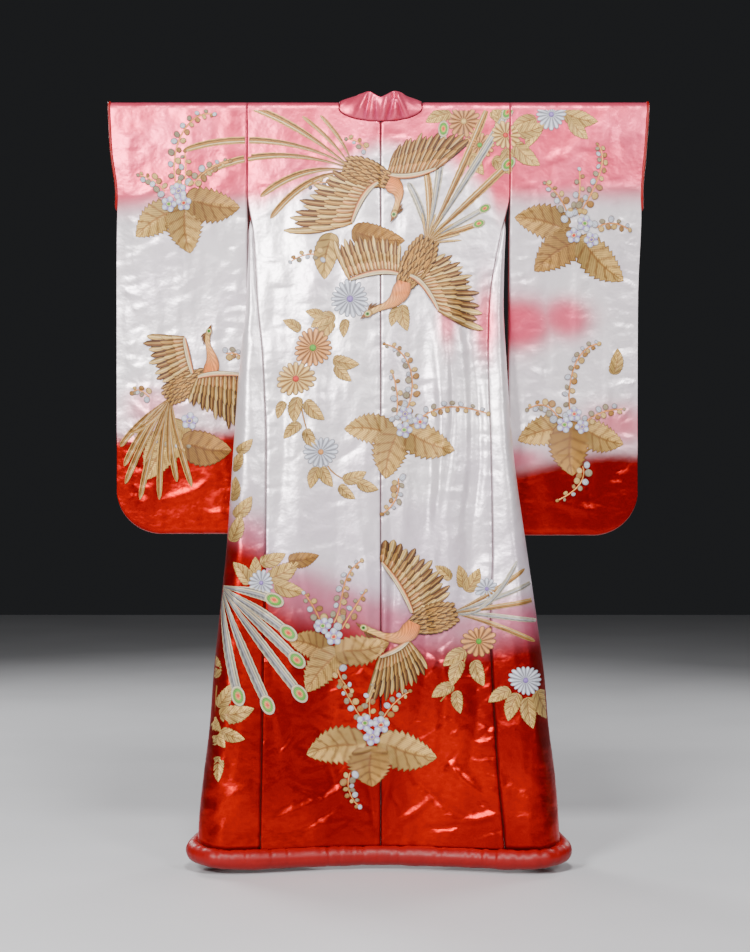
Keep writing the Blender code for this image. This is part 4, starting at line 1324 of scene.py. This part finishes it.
def daisy(panel, x, y, size, petals, pale, deep, heart, layer=2):
    """A many-petalled flower: a scalloped disc with a ridge down each petal and a small raised heart."""
    out, angle = ring_grid(9, petals * 8, 0.0)
    out = out**0.8 + 0.01
    lobe = np.abs(np.cos(petals * angle / 2))
    uneven = 1.0 + 0.07 * np.sin(angle * 2 + x) + 0.05 * np.sin(angle * 3 + y)
    radius = size * out * (1.0 - out**3 * 0.22 * (1 - lobe**0.55)) * uneven
    px, py = x + radius * np.cos(angle), y - radius * np.sin(angle) * 0.92
    lift = LAYER * layer + 1.4 * RISE * np.sqrt(np.clip(1.02 - out**3, 0, 1)) * (0.35 + 0.65 * lobe**0.5)
    tints = mixed(deep, pale, smooth(0.15, 0.75, lobe) * (0.45 + 0.55 * out))
    tints = mixed(tints, deep * 0.7, smooth(0.90, 1.0, out))
    work.add(panel, px, py, lift, tints, lobe * 7.0, "silk", True)
    dome(panel, (x, y), size * 0.17, size * 0.17, 0, bands((0.6, heart), (1.0, heart * 0.6)), 1.0, layer + 3)


def bell(panel, x, y, size, turn, heart, layer=8):
    """A five-lobed blossom: pale lobes with violet shading, a coloured throat with a pale rim."""
    out, angle = ring_grid(8, 50)
    lobe = np.abs(np.cos(5 * (angle - np.radians(turn)) / 2))
    radius = size * out * (0.66 + 0.34 * lobe**0.7)
    px, py = x + radius * np.cos(angle), y - radius * np.sin(angle)
    lift = LAYER * layer + 1.2 * RISE * np.sqrt(np.clip(1.01 - out**3, 0, 1))
    tints = mixed(VIOLET * 0.9, SILVER * 1.05, smooth(0.2, 0.7, lobe * (0.3 + out)))
    tints = mixed(tints, GREY * 0.7, smooth(0.86, 1.0, out) * 0.8)
    work.add(panel, px, py, lift, tints, lobe * 6.0, "silk", True)
    throat = bands((0.55, heart), (0.80, IVORY), (1.0, VIOLET * 0.5))
    dome(panel, (x, y), size * 0.42, size * 0.36, turn, throat, 0.8, layer + 3)


def beads(panel, path, count, large=3.9, small=2.2, layer=4, pale=SILVER):
    """A spike of round buds: small domes on both sides of a thin stem, smaller towards the tip."""
    steps = 30
    line = bezier(path, steps)
    ribbon(panel, line, np.full(steps, 0.7), edged(flat_tint(APRICOT), ORANGE), 0.5, layer)
    along = unit(np.gradient(line, axis=0))
    chance = np.random.default_rng(int(abs(line[0, 0] * 7 + line[0, 1] * 3)))
    for k in range(count):
        share = k / (count - 1)
        i = int(round(share * (steps - 1)))
        size = blend(large, small, share) * chance.uniform(0.82, 1.22)
        side = 0.0 if k == count - 1 else (-1.0, 1.0)[k % 2]
        place = line[i] + np.array([-along[i, 1], along[i, 0]]) * side * size * chance.uniform(0.95, 1.25)
        tint = (pale, GOLD_PALE, OLIVE, GOLD)[k % 4] * chance.uniform(0.8, 1.05)
        rim = bands((0.20, tint * 0.62), (0.40, tint * 1.05), (0.82, tint * 0.82), (1.0, BROWN))
        turn = chance.uniform(0.0, 180.0)
        dome(panel, place, size, size * chance.uniform(0.74, 0.96), turn, rim, 1.0, layer + 2)


def stem(panel, path):
    """A thin stem along a curve."""
    ribbon(panel, bezier(path, 24), np.full(24, 0.8), edged(flat_tint(GOLD), GOLD_DEEP), 0.6)


def long_feather(panel, path, wide=3.6, eye=False, layer=0, grey=False):
    """A trailing feather along a curve: pale shaft, notched dark vanes, and at its end an eye of rings."""
    bars = 14.0
    line = bezier(path, 44)
    t = np.linspace(0.0, 1.0, len(line))
    notch = 1.0 - 0.10 * np.mod(t * bars, 1.0)
    width = wide * (0.30 + 0.70 * smooth(0.0, 0.6, t)) * np.sqrt(1.0 - 0.98 * t**16) * notch
    root, tip = (GREY * 0.9, (SILVER + OLIVE) * 0.5) if grey else (GOLD_DEEP, GOLD)
    edge, far_vane = (IVORY, 0.75) if grey else (GOLD_PALE, 0.35)

    def inner(share, s):
        base = mixed(root, tip, share)
        bar = 0.55 + 0.45 * smooth(0.3, 0.7, np.mod(share * bars - np.abs(s), 1.0))
        vane = smooth(0.20, 0.40, np.abs(s)) * smooth(0.95, 0.70, np.abs(s)) * bar
        dark = mixed(base, base * 0.25, vane * (s > 0) + far_vane * vane * (s < 0))
        return mixed(dark, IVORY, smooth(0.20, 0.0, np.abs(s + 0.35)) * 0.85)

    ribbon(panel, line, width, edged(inner, edge, 0.98), 0.7, layer)
    if eye:
        way = line[-1] - line[-4]
        angle = np.degrees(np.arctan2(-way[1], way[0]))
        middle = ((0.22, VERMILION), (0.38, APRICOT), (0.66, GREEN), (0.78, GREEN * 0.5))
        rings = bands(*middle, (0.92, IVORY), (1.0, GREY))
        dome(panel, line[-3], wide * 2.1, wide * 1.35, angle, rings, 1.0, layer + 3, 10, 24)


def wing(panel, edge, tips, count, layer, bend=0.06, light=GOLD_PALE, dark=GOLD_DEEP):
    """A wing: feathers from an edge curve to a tip curve in three overlapping rows, and a padded edge."""
    starts, ends = bezier(edge, count), bezier(tips, count)
    kinds = (
        (1.00, plume_tints(BROWN, GOLD_DEEP, GOLD_PALE, DARK), plume_tints(dark, light, IVORY, BROWN)),
        (0.62, plume_tints(BROWN, GOLD, GOLD_PALE, DARK), plume_tints(dark, light, IVORY, BROWN)),
        (0.32, plume_tints(GOLD_DEEP, APRICOT, IVORY, BROWN), plume_tints(GOLD, light, IVORY, GOLD_DEEP)),
    )
    for row, (reach, odd, even) in enumerate(kinds):
        middle = starts + (ends - starts) * 0.7 * reach
        space = np.linalg.norm(np.gradient(middle, axis=0), axis=1)
        for k in range(count):
            way = (ends[k] - starts[k]) * reach * (0.93 + 0.07 * np.sin(k * 2.3 + row))
            half = starts[k] + way * 0.5 + np.array([way[1], -way[0]]) * bend
            curve = [starts[k], half, starts[k] + way]
            tints = odd if k % 2 else even
            plume(panel, curve, max(space[k] * 0.62, 1.1), tints, 0.55, layer + 2 * row + k % 2)
    t = np.linspace(0.0, 1.0, 26)
    width = 1.0 + 1.9 * np.sin(np.pi * np.clip(t * 0.9 + 0.08, 0, 1)) ** 0.6
    cream = edged(lambda t, s: mixed(IVORY * 0.95, ORANGE, smooth(-0.2, 0.7, s)), BROWN)
    ribbon(panel, bezier(edge, len(t)), width, cream, 1.0, layer + 7, "silk")


def neck_tints(t, _s):
    """Orange at the breast, apricot along the neck and pale gold towards the head."""
    return mixed(mixed(ORANGE * 1.1, APRICOT, t * 1.6), GOLD_PALE, (t - 0.6) * 3)


def bird(panel, spine, girth, neck, size=1.0, layer=6, flip=1.0):
    """A bird's body with rows of scale feathers, its breast and neck, head, crest, eye and beak."""
    line = bezier(spine, 30)
    t = np.linspace(0.0, 1.0, len(line))
    swell = girth * (0.30 + 0.70 * np.sin(np.pi * np.clip(t * 0.86 + 0.06, 0, 1)) ** 0.9)
    ribbon(panel, line, swell, edged(flat_tint(GOLD), BROWN, 0.97), 0.9, layer)
    along = unit(np.gradient(line, axis=0))
    scale = plume_tints(BROWN, GOLD, GOLD_PALE, DARK)
    rows = 9
    for row in range(rows):
        i = int(2 + 26 * row / (rows - 1))
        beside = np.array([-along[i, 1], along[i, 0]])
        many = 5 if row % 2 else 4
        for k in range(many):
            side = (k - (many - 1) / 2) / (many - 1) * 1.7
            start = line[i] + beside * side * swell[i]
            end = start + (beside * side * 0.25 - along[i]) * 7.5 * size
            plume(panel, [start, (start + end) / 2, end], 2.5 * size, scale, 0.6, layer + 1 + row * 0.35, 8)
    curve = bezier(neck, 34)
    t = np.linspace(0.0, 1.0, len(curve))
    width = size * (3.0 + 6.5 * (1 - smooth(0.0, 0.75, t))) * (0.55 + 0.45 * smooth(-0.1, 0.16, t))
    ribbon(panel, curve, width, edged(neck_tints, GOLD_DEEP, 0.97), 1.1, layer + 5, "silk", 0.4)
    head, way = curve[-1], unit(curve[-1] - curve[-5])
    beside = np.array([way[1], -way[0]]) * flip
    for k in range(3):
        tip = head - way * size * (9 + 4 * k) + beside * size * (7 - 2.5 * k)
        half = head - way * size * 3 + beside * size * (6 - k)
        crest = plume_tints(BROWN, GOLD_DEEP, GOLD, DARK)
        plume(panel, [head, half, tip], 0.9 * size, crest, 0.6, layer + 6, 9)
    nod = np.degrees(np.arctan2(-way[1], way[0]))
    crown = bands((0.8, GOLD_PALE), (1.0, GOLD_DEEP))
    dome(panel, head, size * 4.6, size * 3.5, nod, crown, 1.0, layer + 8)
    tip = head + way * 9 * size - beside * 1.5 * size
    beak = bezier([head + way * 3.6 * size, head + way * 6.5 * size, tip], 9)
    ribbon(panel, beak, size * np.linspace(1.9, 0.2, 9), edged(flat_tint(GOLD_DEEP), BROWN), 0.8, layer + 8)
    eye = bands((0.38, DARK * 0.3), (0.72, GREEN), (1.0, IVORY))
    dome(panel, head + way * 0.6, size * 2.5, size * 2.3, 0, eye, 0.8, layer + 12, 7, 16)


def spray(panel, leaves, spikes, blossoms, layer=0):
    """A flowering branch: broad leaves, spikes of buds and a knot of blossoms."""
    for k, (x, y, turn, long, wide, deep) in enumerate(leaves):
        light, dark = blend(GOLD_PALE, GOLD, deep), blend(GOLD_DEEP, BROWN, deep)
        leaf(panel, x, y, turn, long, wide, light, dark, layer + k, 5, 0.24, 0.22)
    for path, count in spikes:
        beads(panel, path, count, layer=layer + 4)
    hearts = (GREEN, VERMILION, VIOLET * 0.7)
    for k, (x, y, size) in enumerate(blossoms):
        bell(panel, x, y, size, 20 * k, hearts[k], layer + 8)


def left_sleeve_design():
    """Top branch, the standing bird with its tail fan, and leaves below it."""
    spray(
        "left",
        ((170, 210, 214, 44, 18, 0.0), (184, 208, 276, 44, 21, 0.25), (194, 200, 352, 46, 19, 0.7)),
        (
            (((176, 186), (166, 150), (186, 106), (214, 113)), 21),
            (((164, 190), (152, 176), (137, 174)), 11),
            (((192, 184), (206, 164), (230, 160)), 12),
            (((184, 186), (186, 170), (184, 150)), 8),
        ),
        ((168, 203, 8), (183, 202, 8), (178, 190, 8.5)),
    )
    for path in (((150, 444), (170, 452), (186, 446)), ((224, 352), (234, 350), (240, 356))):
        beads("left", path, 7, 3.4, 2.4, 1)
    beads("left", ((146, 396), (134, 384), (128, 392)), 8, 3.2, 2.2, 1)
    leaf("left", 176, 430, 236, 60, 20, GOLD_PALE, GOLD_DEEP, 0, 6, 0.14, 0.2)
    leaf("left", 186, 444, 352, 44, 19, GOLD, BROWN, 2, 5, 0.13, 0.2)
    bell("left", 187, 420, 9, 10, VIOLET * 0.7, 5)
    tails = ((116, 446), (120, 466), (121, 484), (136, 500), (156, 500), (174, 482), (189, 487))
    for k, tip in enumerate(tails):
        half = (150 - 6 * (3 - k), 428 - 2 * abs(k - 3))
        long_feather("left", [(168, 396), half, tip], 3.3, False, 4 + k % 3)
    for k, tip in enumerate(((128, 432), (142, 462), (166, 462), (180, 452))):
        long_feather("left", [(168, 394), (156 + 4 * k, 420), tip], 2.4, False, 7 + k % 2)
    wing("left", [(190, 372), (184, 350), (182, 336)], [(160, 392), (146, 372), (138, 334)], 11, 6, 0.05)
    neck = [(206, 374), (218, 356), (200, 346), (207, 330)]
    bird("left", [(166, 396), (180, 384), (206, 372)], 12, neck, 0.9, 9)
    wing("left", [(196, 376), (212, 370), (242, 374)], [(186, 404), (214, 416), (240, 440)], 13, 12, -0.04)


def right_sleeve_design():
    """Flowers by the shoulder and two branches."""
    daisy("right", 552, 113, 16, 16, SILVER, GREY, VIOLET)
    rows = ((566, 112, 346, 34), (572, 118, 310, 26), (536, 118, 200, 26), (540, 124, 240, 26))
    small_leaves("right", rows)
    daisy("right body", 506, 134, 15, 14, GOLD_PALE, GOLD_DEEP, VERMILION, 3)
    rows = ((516, 144, 320, 32), (508, 148, 275, 26), (520, 132, 20, 28), (500, 122, 110, 18))
    small_leaves("right body", rows, 1)
    stem("right", [(545, 122), (540, 140), (522, 150)])
    spray(
        "right",
        ((562, 226, 168, 48, 19, 0.6), (576, 240, 216, 50, 20, 0.8), (588, 244, 318, 52, 19, 0.15)),
        (
            (((580, 214), (594, 190), (612, 158), (598, 143)), 20),
            (((570, 216), (560, 190), (545, 182)), 11),
            (((598, 226), (614, 216), (632, 228)), 10),
            (((576, 214), (582, 196), (580, 168)), 9),
        ),
        ((586, 222, 8.5), (575, 234, 8), (593, 238, 8)),
    )
    spray(
        "right",
        ((562, 428, 196, 44, 17, 0.25), (590, 430, 340, 40, 17, 0.35), (574, 430, 272, 46, 23, 0.9)),
        (
            (((573, 414), (568, 380), (578, 344), (602, 342)), 22),
            (((560, 416), (548, 396), (529, 409)), 11),
            (((590, 420), (604, 408), (628, 408)), 11),
            (((586, 466), (592, 486), (560, 501)), 12),
        ),
        ((567, 424, 8.5), (577, 413, 8), (585, 426, 7.5)),
    )
    small_leaves("right", ((617, 372, 80, 26),))


def upper_design():
    """Two birds with long tails, flowers behind them by the right shoulder."""
    daisy("body", 464, 120, 17, 14, APRICOT * 0.8, BROWN, GOLD_PALE, 0)
    daisy("body", 480, 144, 15, 14, APRICOT * 0.9, BROWN, GREEN, 0)
    small_leaves("body", ((470, 150, 300, 28), (492, 116, 40, 22), (450, 112, 200, 26), (494, 158, 330, 26)))
    leaf("body", 356, 232, 350, 50, 15, GOLD, BROWN, 0, 6, 0.12, 0.1)
    leaf("body", 330, 240, 262, 40, 13, GOLD_PALE, BROWN, 0, 5, 0.12, 0.2)
    beads("body", ((324, 256), (306, 250), (290, 262)), 9, 3.2, 2.2, 0)
    beads("body", ((340, 186), (322, 178), (306, 186)), 10, 3.0, 2.0, 0, GREY * 1.2)
    beads("body", ((366, 150), (360, 138), (346, 138)), 7, 3.0, 2.2, 0)
    tails = (
        ((350, 166), (292, 118), (250, 106)),
        ((350, 167), (296, 132), (218, 134), (182, 150)),
        ((350, 168), (292, 146), (230, 152), (196, 178)),
        ((350, 170), (300, 162), (260, 196)),
        ((350, 172), (306, 170), (270, 218)),
    )
    for k, path in enumerate(tails):
        long_feather("body left", path, 3.7, False, 1 + k % 3)
    for path in (((350, 164), (330, 136), (302, 115)), ((352, 162), (342, 136), (320, 114))):
        long_feather("body", path, 2.2, False, 3)
    wing("body", [(378, 182), (362, 190), (352, 222)], [(352, 158), (300, 184), (282, 230)], 15, 4, 0.10)
    tips = [(398, 146), (414, 122), (474, 134)]
    wing("body", [(388, 174), (408, 180), (436, 168)], tips, 14, 4, 0.05, GOLD, BROWN)
    neck = [(388, 182), (404, 190), (398, 200), (394, 214)]
    bird("body", [(348, 166), (364, 170), (392, 182)], 13, neck, 1.0, 8)
    ends = ((408, 182), (426, 168), (444, 122), (488, 106), (512, 104), (513, 159), (488, 206), (482, 222))
    eyes = (False, False, True, False, True, True, True, True)
    for k, tip in enumerate(ends):
        half = ((428 + tip[0]) / 2 + (4 - k) * 2.0, (240 + tip[1]) / 2 + 3)
        wide = 4.0 if k < 6 else 3.2
        long_feather("body right", [(427, 240), half, tip], wide, eyes[k], 1 + k % 3, k % 2 == 0)
    for k in range(9):
        angle = np.radians(100 - 12 * k)
        half = (427 + 14 * np.cos(angle), 242 - 15 * np.sin(angle))
        tip = (428 + 34 * np.cos(angle), 242 - 30 * np.sin(angle))
        tints = plume_tints(GOLD_DEEP, GOLD_PALE, IVORY, GOLD)
        plume("body", [(426, 244), half, tip], 1.2, tints, 0.6, 6, 10)
    wing("body", [(398, 274), (380, 268), (350, 280)], [(400, 242), (370, 230), (334, 240)], 15, 5, 0.05)
    wing("body", [(410, 276), (424, 280), (438, 310)], [(448, 252), (484, 270), (484, 330)], 15, 7, -0.04)
    neck = [(404, 282), (398, 308), (384, 304), (368, 314)]
    bird("body", [(428, 242), (418, 262), (402, 288)], 15, neck, 1.05, 9, -1.0)
    small_leaves("body", ((402, 306, 282, 26), (398, 308, 250, 20)))


def middle_design():
    """Flowers and leaves on the left, and the middle branch."""
    daisy("body", 350, 299, 20, 18, SILVER, GREY, VIOLET, 1)
    rows = ((334, 316, 206, 26), (332, 322, 236, 26), (346, 320, 262, 18), (324, 318, 160, 20))
    small_leaves("body", rows, 2)
    daisy("body", 313, 348, 20, 18, APRICOT, BROWN, GREEN, 4)
    daisy("body", 296, 379, 19, 16, GOLD_PALE, GOLD_DEEP, VERMILION, 6)
    rows = ((334, 360, 350, 26), (336, 366, 315, 22), (298, 398, 262, 26), (306, 402, 316, 26))
    rows += ((300, 424, 222, 22), (306, 430, 300, 22), (300, 330, 150, 20), (284, 402, 250, 18))
    small_leaves("body", rows, 3)
    stem("body", [(300, 398), (304, 424), (312, 444)])
    daisy("body", 321, 452, 17, 16, SILVER, GREY, APRICOT, 3)
    rows = ((322, 468, 300, 22), (318, 468, 250, 22), (344, 480, 20, 24), (340, 486, 320, 20))
    small_leaves("body", (*rows, (358, 482, 340, 22)), 2)
    stem("body", [(328, 466), (336, 480), (366, 486)])
    spray(
        "body",
        ((386, 432, 176, 42, 17, 0.1), (396, 436, 256, 44, 20, 0.3), (408, 432, 338, 50, 19, 0.2)),
        (
            (((400, 420), (420, 396), (416, 350), (384, 344)), 24),
            (((414, 424), (440, 396), (488, 414)), 18),
            (((396, 420), (400, 396), (392, 372)), 10),
            (((398, 478), (402, 500), (382, 514)), 12),
        ),
        ((404, 430, 8.5), (420, 422, 8), (405, 414, 8)),
        1,
    )


def lower_design():
    """Eyed feathers and leaves on the left, the diving bird on the right, branches between and below."""
    for k, tip in enumerate(((277, 600), (292, 634), (301, 662), (304, 697), (271, 708), (241, 698))):
        half = ((223 + tip[0]) / 2 + 5 - 2 * k, (588 + tip[1]) / 2 - 5 + 2 * k)
        long_feather("body", [(221, 586), half, tip], 5.0, True, 3 + k % 3, True)
    rows = ((250, 582, 128, 26), (254, 578, 84, 22), (270, 578, 30, 34), (276, 584, 346, 30))
    small_leaves("body", (*rows, (262, 562, 20, 26)))
    daisy("body", 262, 582, 13, 14, SILVER, GREY, VIOLET, 2)
    leaf("body", 290, 560, 10, 30, 9, GOLD, BROWN, 0)
    rows = ((232, 470, 60, 22), (238, 452, 40, 20), (232, 500, 80, 24), (236, 516, 50, 26))
    small_leaves("body", (*rows, (232, 540, 70, 28)))
    spray(
        "body",
        ((322, 648, 164, 34, 15, 0.6), (334, 656, 232, 44, 18, 0.3), (344, 650, 10, 46, 17, 0.5)),
        (
            (((334, 622), (346, 600), (338, 574), (362, 560)), 18),
            (((322, 624), (314, 604), (304, 592)), 9),
            (((342, 628), (354, 606), (366, 590)), 10),
            (((338, 668), (340, 680), (352, 690)), 6),
        ),
        ((323, 625, 8.5), (334, 636, 9)),
        1,
    )
    for k, tip in enumerate(((524, 568), (534, 580), (538, 598), (538, 620), (534, 640), (516, 560))):
        long_feather("body", [(450, 612), (486, 598 + 5 * k), tip], 2.6, False, 1 + k % 3, k % 2 == 1)
    small_leaves("body", ((462, 586, 100, 22), (466, 590, 60, 26), (450, 578, 140, 20)))
    daisy("body", 486, 588, 12, 12, SILVER, GREY, VIOLET, 0)
    wing("body", [(412, 612), (404, 588), (382, 562)], [(452, 590), (440, 552), (386, 536)], 14, 5, -0.06)
    wing("body", [(408, 640), (398, 650), (380, 656)], [(428, 670), (408, 700), (366, 704)], 13, 5, 0.05)
    neck = [(414, 622), (404, 646), (384, 636), (364, 627)]
    bird("body", [(452, 612), (432, 618), (410, 626)], 14, neck, 1.05, 8)
    daisy("body", 478, 640, 17, 14, APRICOT * 0.9, BROWN, GREEN, 3)
    rows = ((464, 650, 214, 26), (460, 660, 250, 26), (452, 684, 210, 24), (456, 690, 280, 22))
    small_leaves("body", (*rows, (474, 660, 290, 26)), 1)
    stem("body", [(466, 652), (460, 676), (440, 700)])
    daisy("body", 524, 678, 16, 18, SILVER, GREY, VIOLET, 3)
    rows = ((516, 692, 250, 28), (526, 696, 280, 30), (536, 690, 300, 34), (508, 688, 210, 24))
    small_leaves("body", rows, 1)
    spray(
        "body",
        ((356, 744, 190, 50, 21, 0.2), (388, 744, 346, 50, 21, 0.2), (371, 752, 272, 34, 24, 0.7)),
        (
            (((364, 722), (350, 700), (340, 680)), 12),
            (((380, 722), (392, 700), (410, 690)), 12),
            (((370, 716), (368, 700), (372, 684)), 7),
            (((350, 772), (344, 792), (360, 806)), 13),
        ),
        ((365, 722, 9), (381, 724, 9), (372, 736, 9)),
        1,
    )
    rows = ((216, 676, 100, 26), (220, 704, 60, 26), (222, 712, 10, 34), (214, 722, 300, 26))
    rows += ((212, 742, 80, 28), (208, 752, 250, 26), (221, 754, 268, 24), (224, 728, 340, 24))
    small_leaves("body", rows)
    stem("body", [(218, 684), (214, 724), (212, 752)])


for part_of_design in (left_sleeve_design, right_sleeve_design, upper_design, middle_design, lower_design):
    part_of_design()
grounds = {name: Ground(name) for name in ("body", "left", "right")}
gold_thread = stitched_finish("thread_gold", 0.35, 0.34)
silk_thread = stitched_finish("thread_silk", 0.0, 0.36)
for kind_name, thread_material in (("gold", gold_thread), ("silk", silk_thread)):
    for panel_key, slot_key in (("body", "satin_white"), ("left", "satin_pink"), ("right", "satin_pink")):
        item_name = f"stitched_{kind_name}_{panel_key}"
        work.build(item_name, kind_name, panel_key, grounds[panel_key], thread_material)


def put_item(name, data):
    """An object that shows the data, in the scene."""
    item = bpy.data.objects.new(name, data)
    bpy.context.scene.collection.objects.link(item)
    return item


def area_light(name, place, aim_z, size, power):
    """A square soft light that points at a height on the middle line."""
    lamp = bpy.data.lights.new(name, "AREA")
    lamp.shape = "SQUARE"
    lamp.size = size
    lamp.energy = power
    away = unit(np.array(place) - np.array([0.0, 0.0, aim_z]))
    side = unit(np.cross((0.0, 0.0, 1.0), away))
    basis = np.eye(4)
    basis[:3] = np.stack([side, np.cross(away, side), away, place], -1)
    put_item(name, lamp).matrix_world = Matrix(basis.tolist())


FLOOR_Z = -1.826
FLOOR_REACH = 9
floor_mesh = bpy.data.meshes.new("floor")
floor_corners = [(x * FLOOR_REACH, y * FLOOR_REACH, FLOOR_Z) for x, y in ((-1, -1), (1, -1), (1, 1), (-1, 1))]
floor_mesh.from_pydata(floor_corners, [], [(0, 1, 2, 3)])
floor_mesh.materials.append(floor_finish())
floor = put_item("floor", floor_mesh)

# name, place, height aimed at, size in metres and power in watts
STUDIO_LIGHTS = (
    ("key_light", (-1.9, -4.0, 0.7), -0.9, 1.0, 250.0),
    ("fill_light", (2.3, -3.9, 0.9), -0.9, 0.8, 90.0),
    ("top_light", (0.1, -3.0, 2.3), -1.2, 0.8, 170.0),
    ("back_light_left", (-2.6, 3.4, 1.2), -0.9, 1.4, 150.0),
    ("back_light_right", (2.8, 3.2, 0.6), -0.9, 1.4, 80.0),
)
for light_row in STUDIO_LIGHTS:
    area_light(*light_row)

world = bpy.data.worlds.new("studio")
world.use_nodes = True
surround = world.node_tree.nodes["Background"]
surround.inputs["Color"].default_value = (0.50, 0.52, 0.56, 1.0)
surround.inputs["Strength"].default_value = 0.03
bpy.context.scene.world = world

CAMERA_PLACE = (-0.0137, -5.0, -0.8856)
camera_data = bpy.data.cameras.new("camera")
camera_data.lens = 78.2
camera_data.sensor_width = 36.0
camera = put_item("camera", camera_data)
camera.location = CAMERA_PLACE
camera.rotation_euler = (np.pi / 2, 0.0, 0.0)
bpy.context.scene.camera = camera
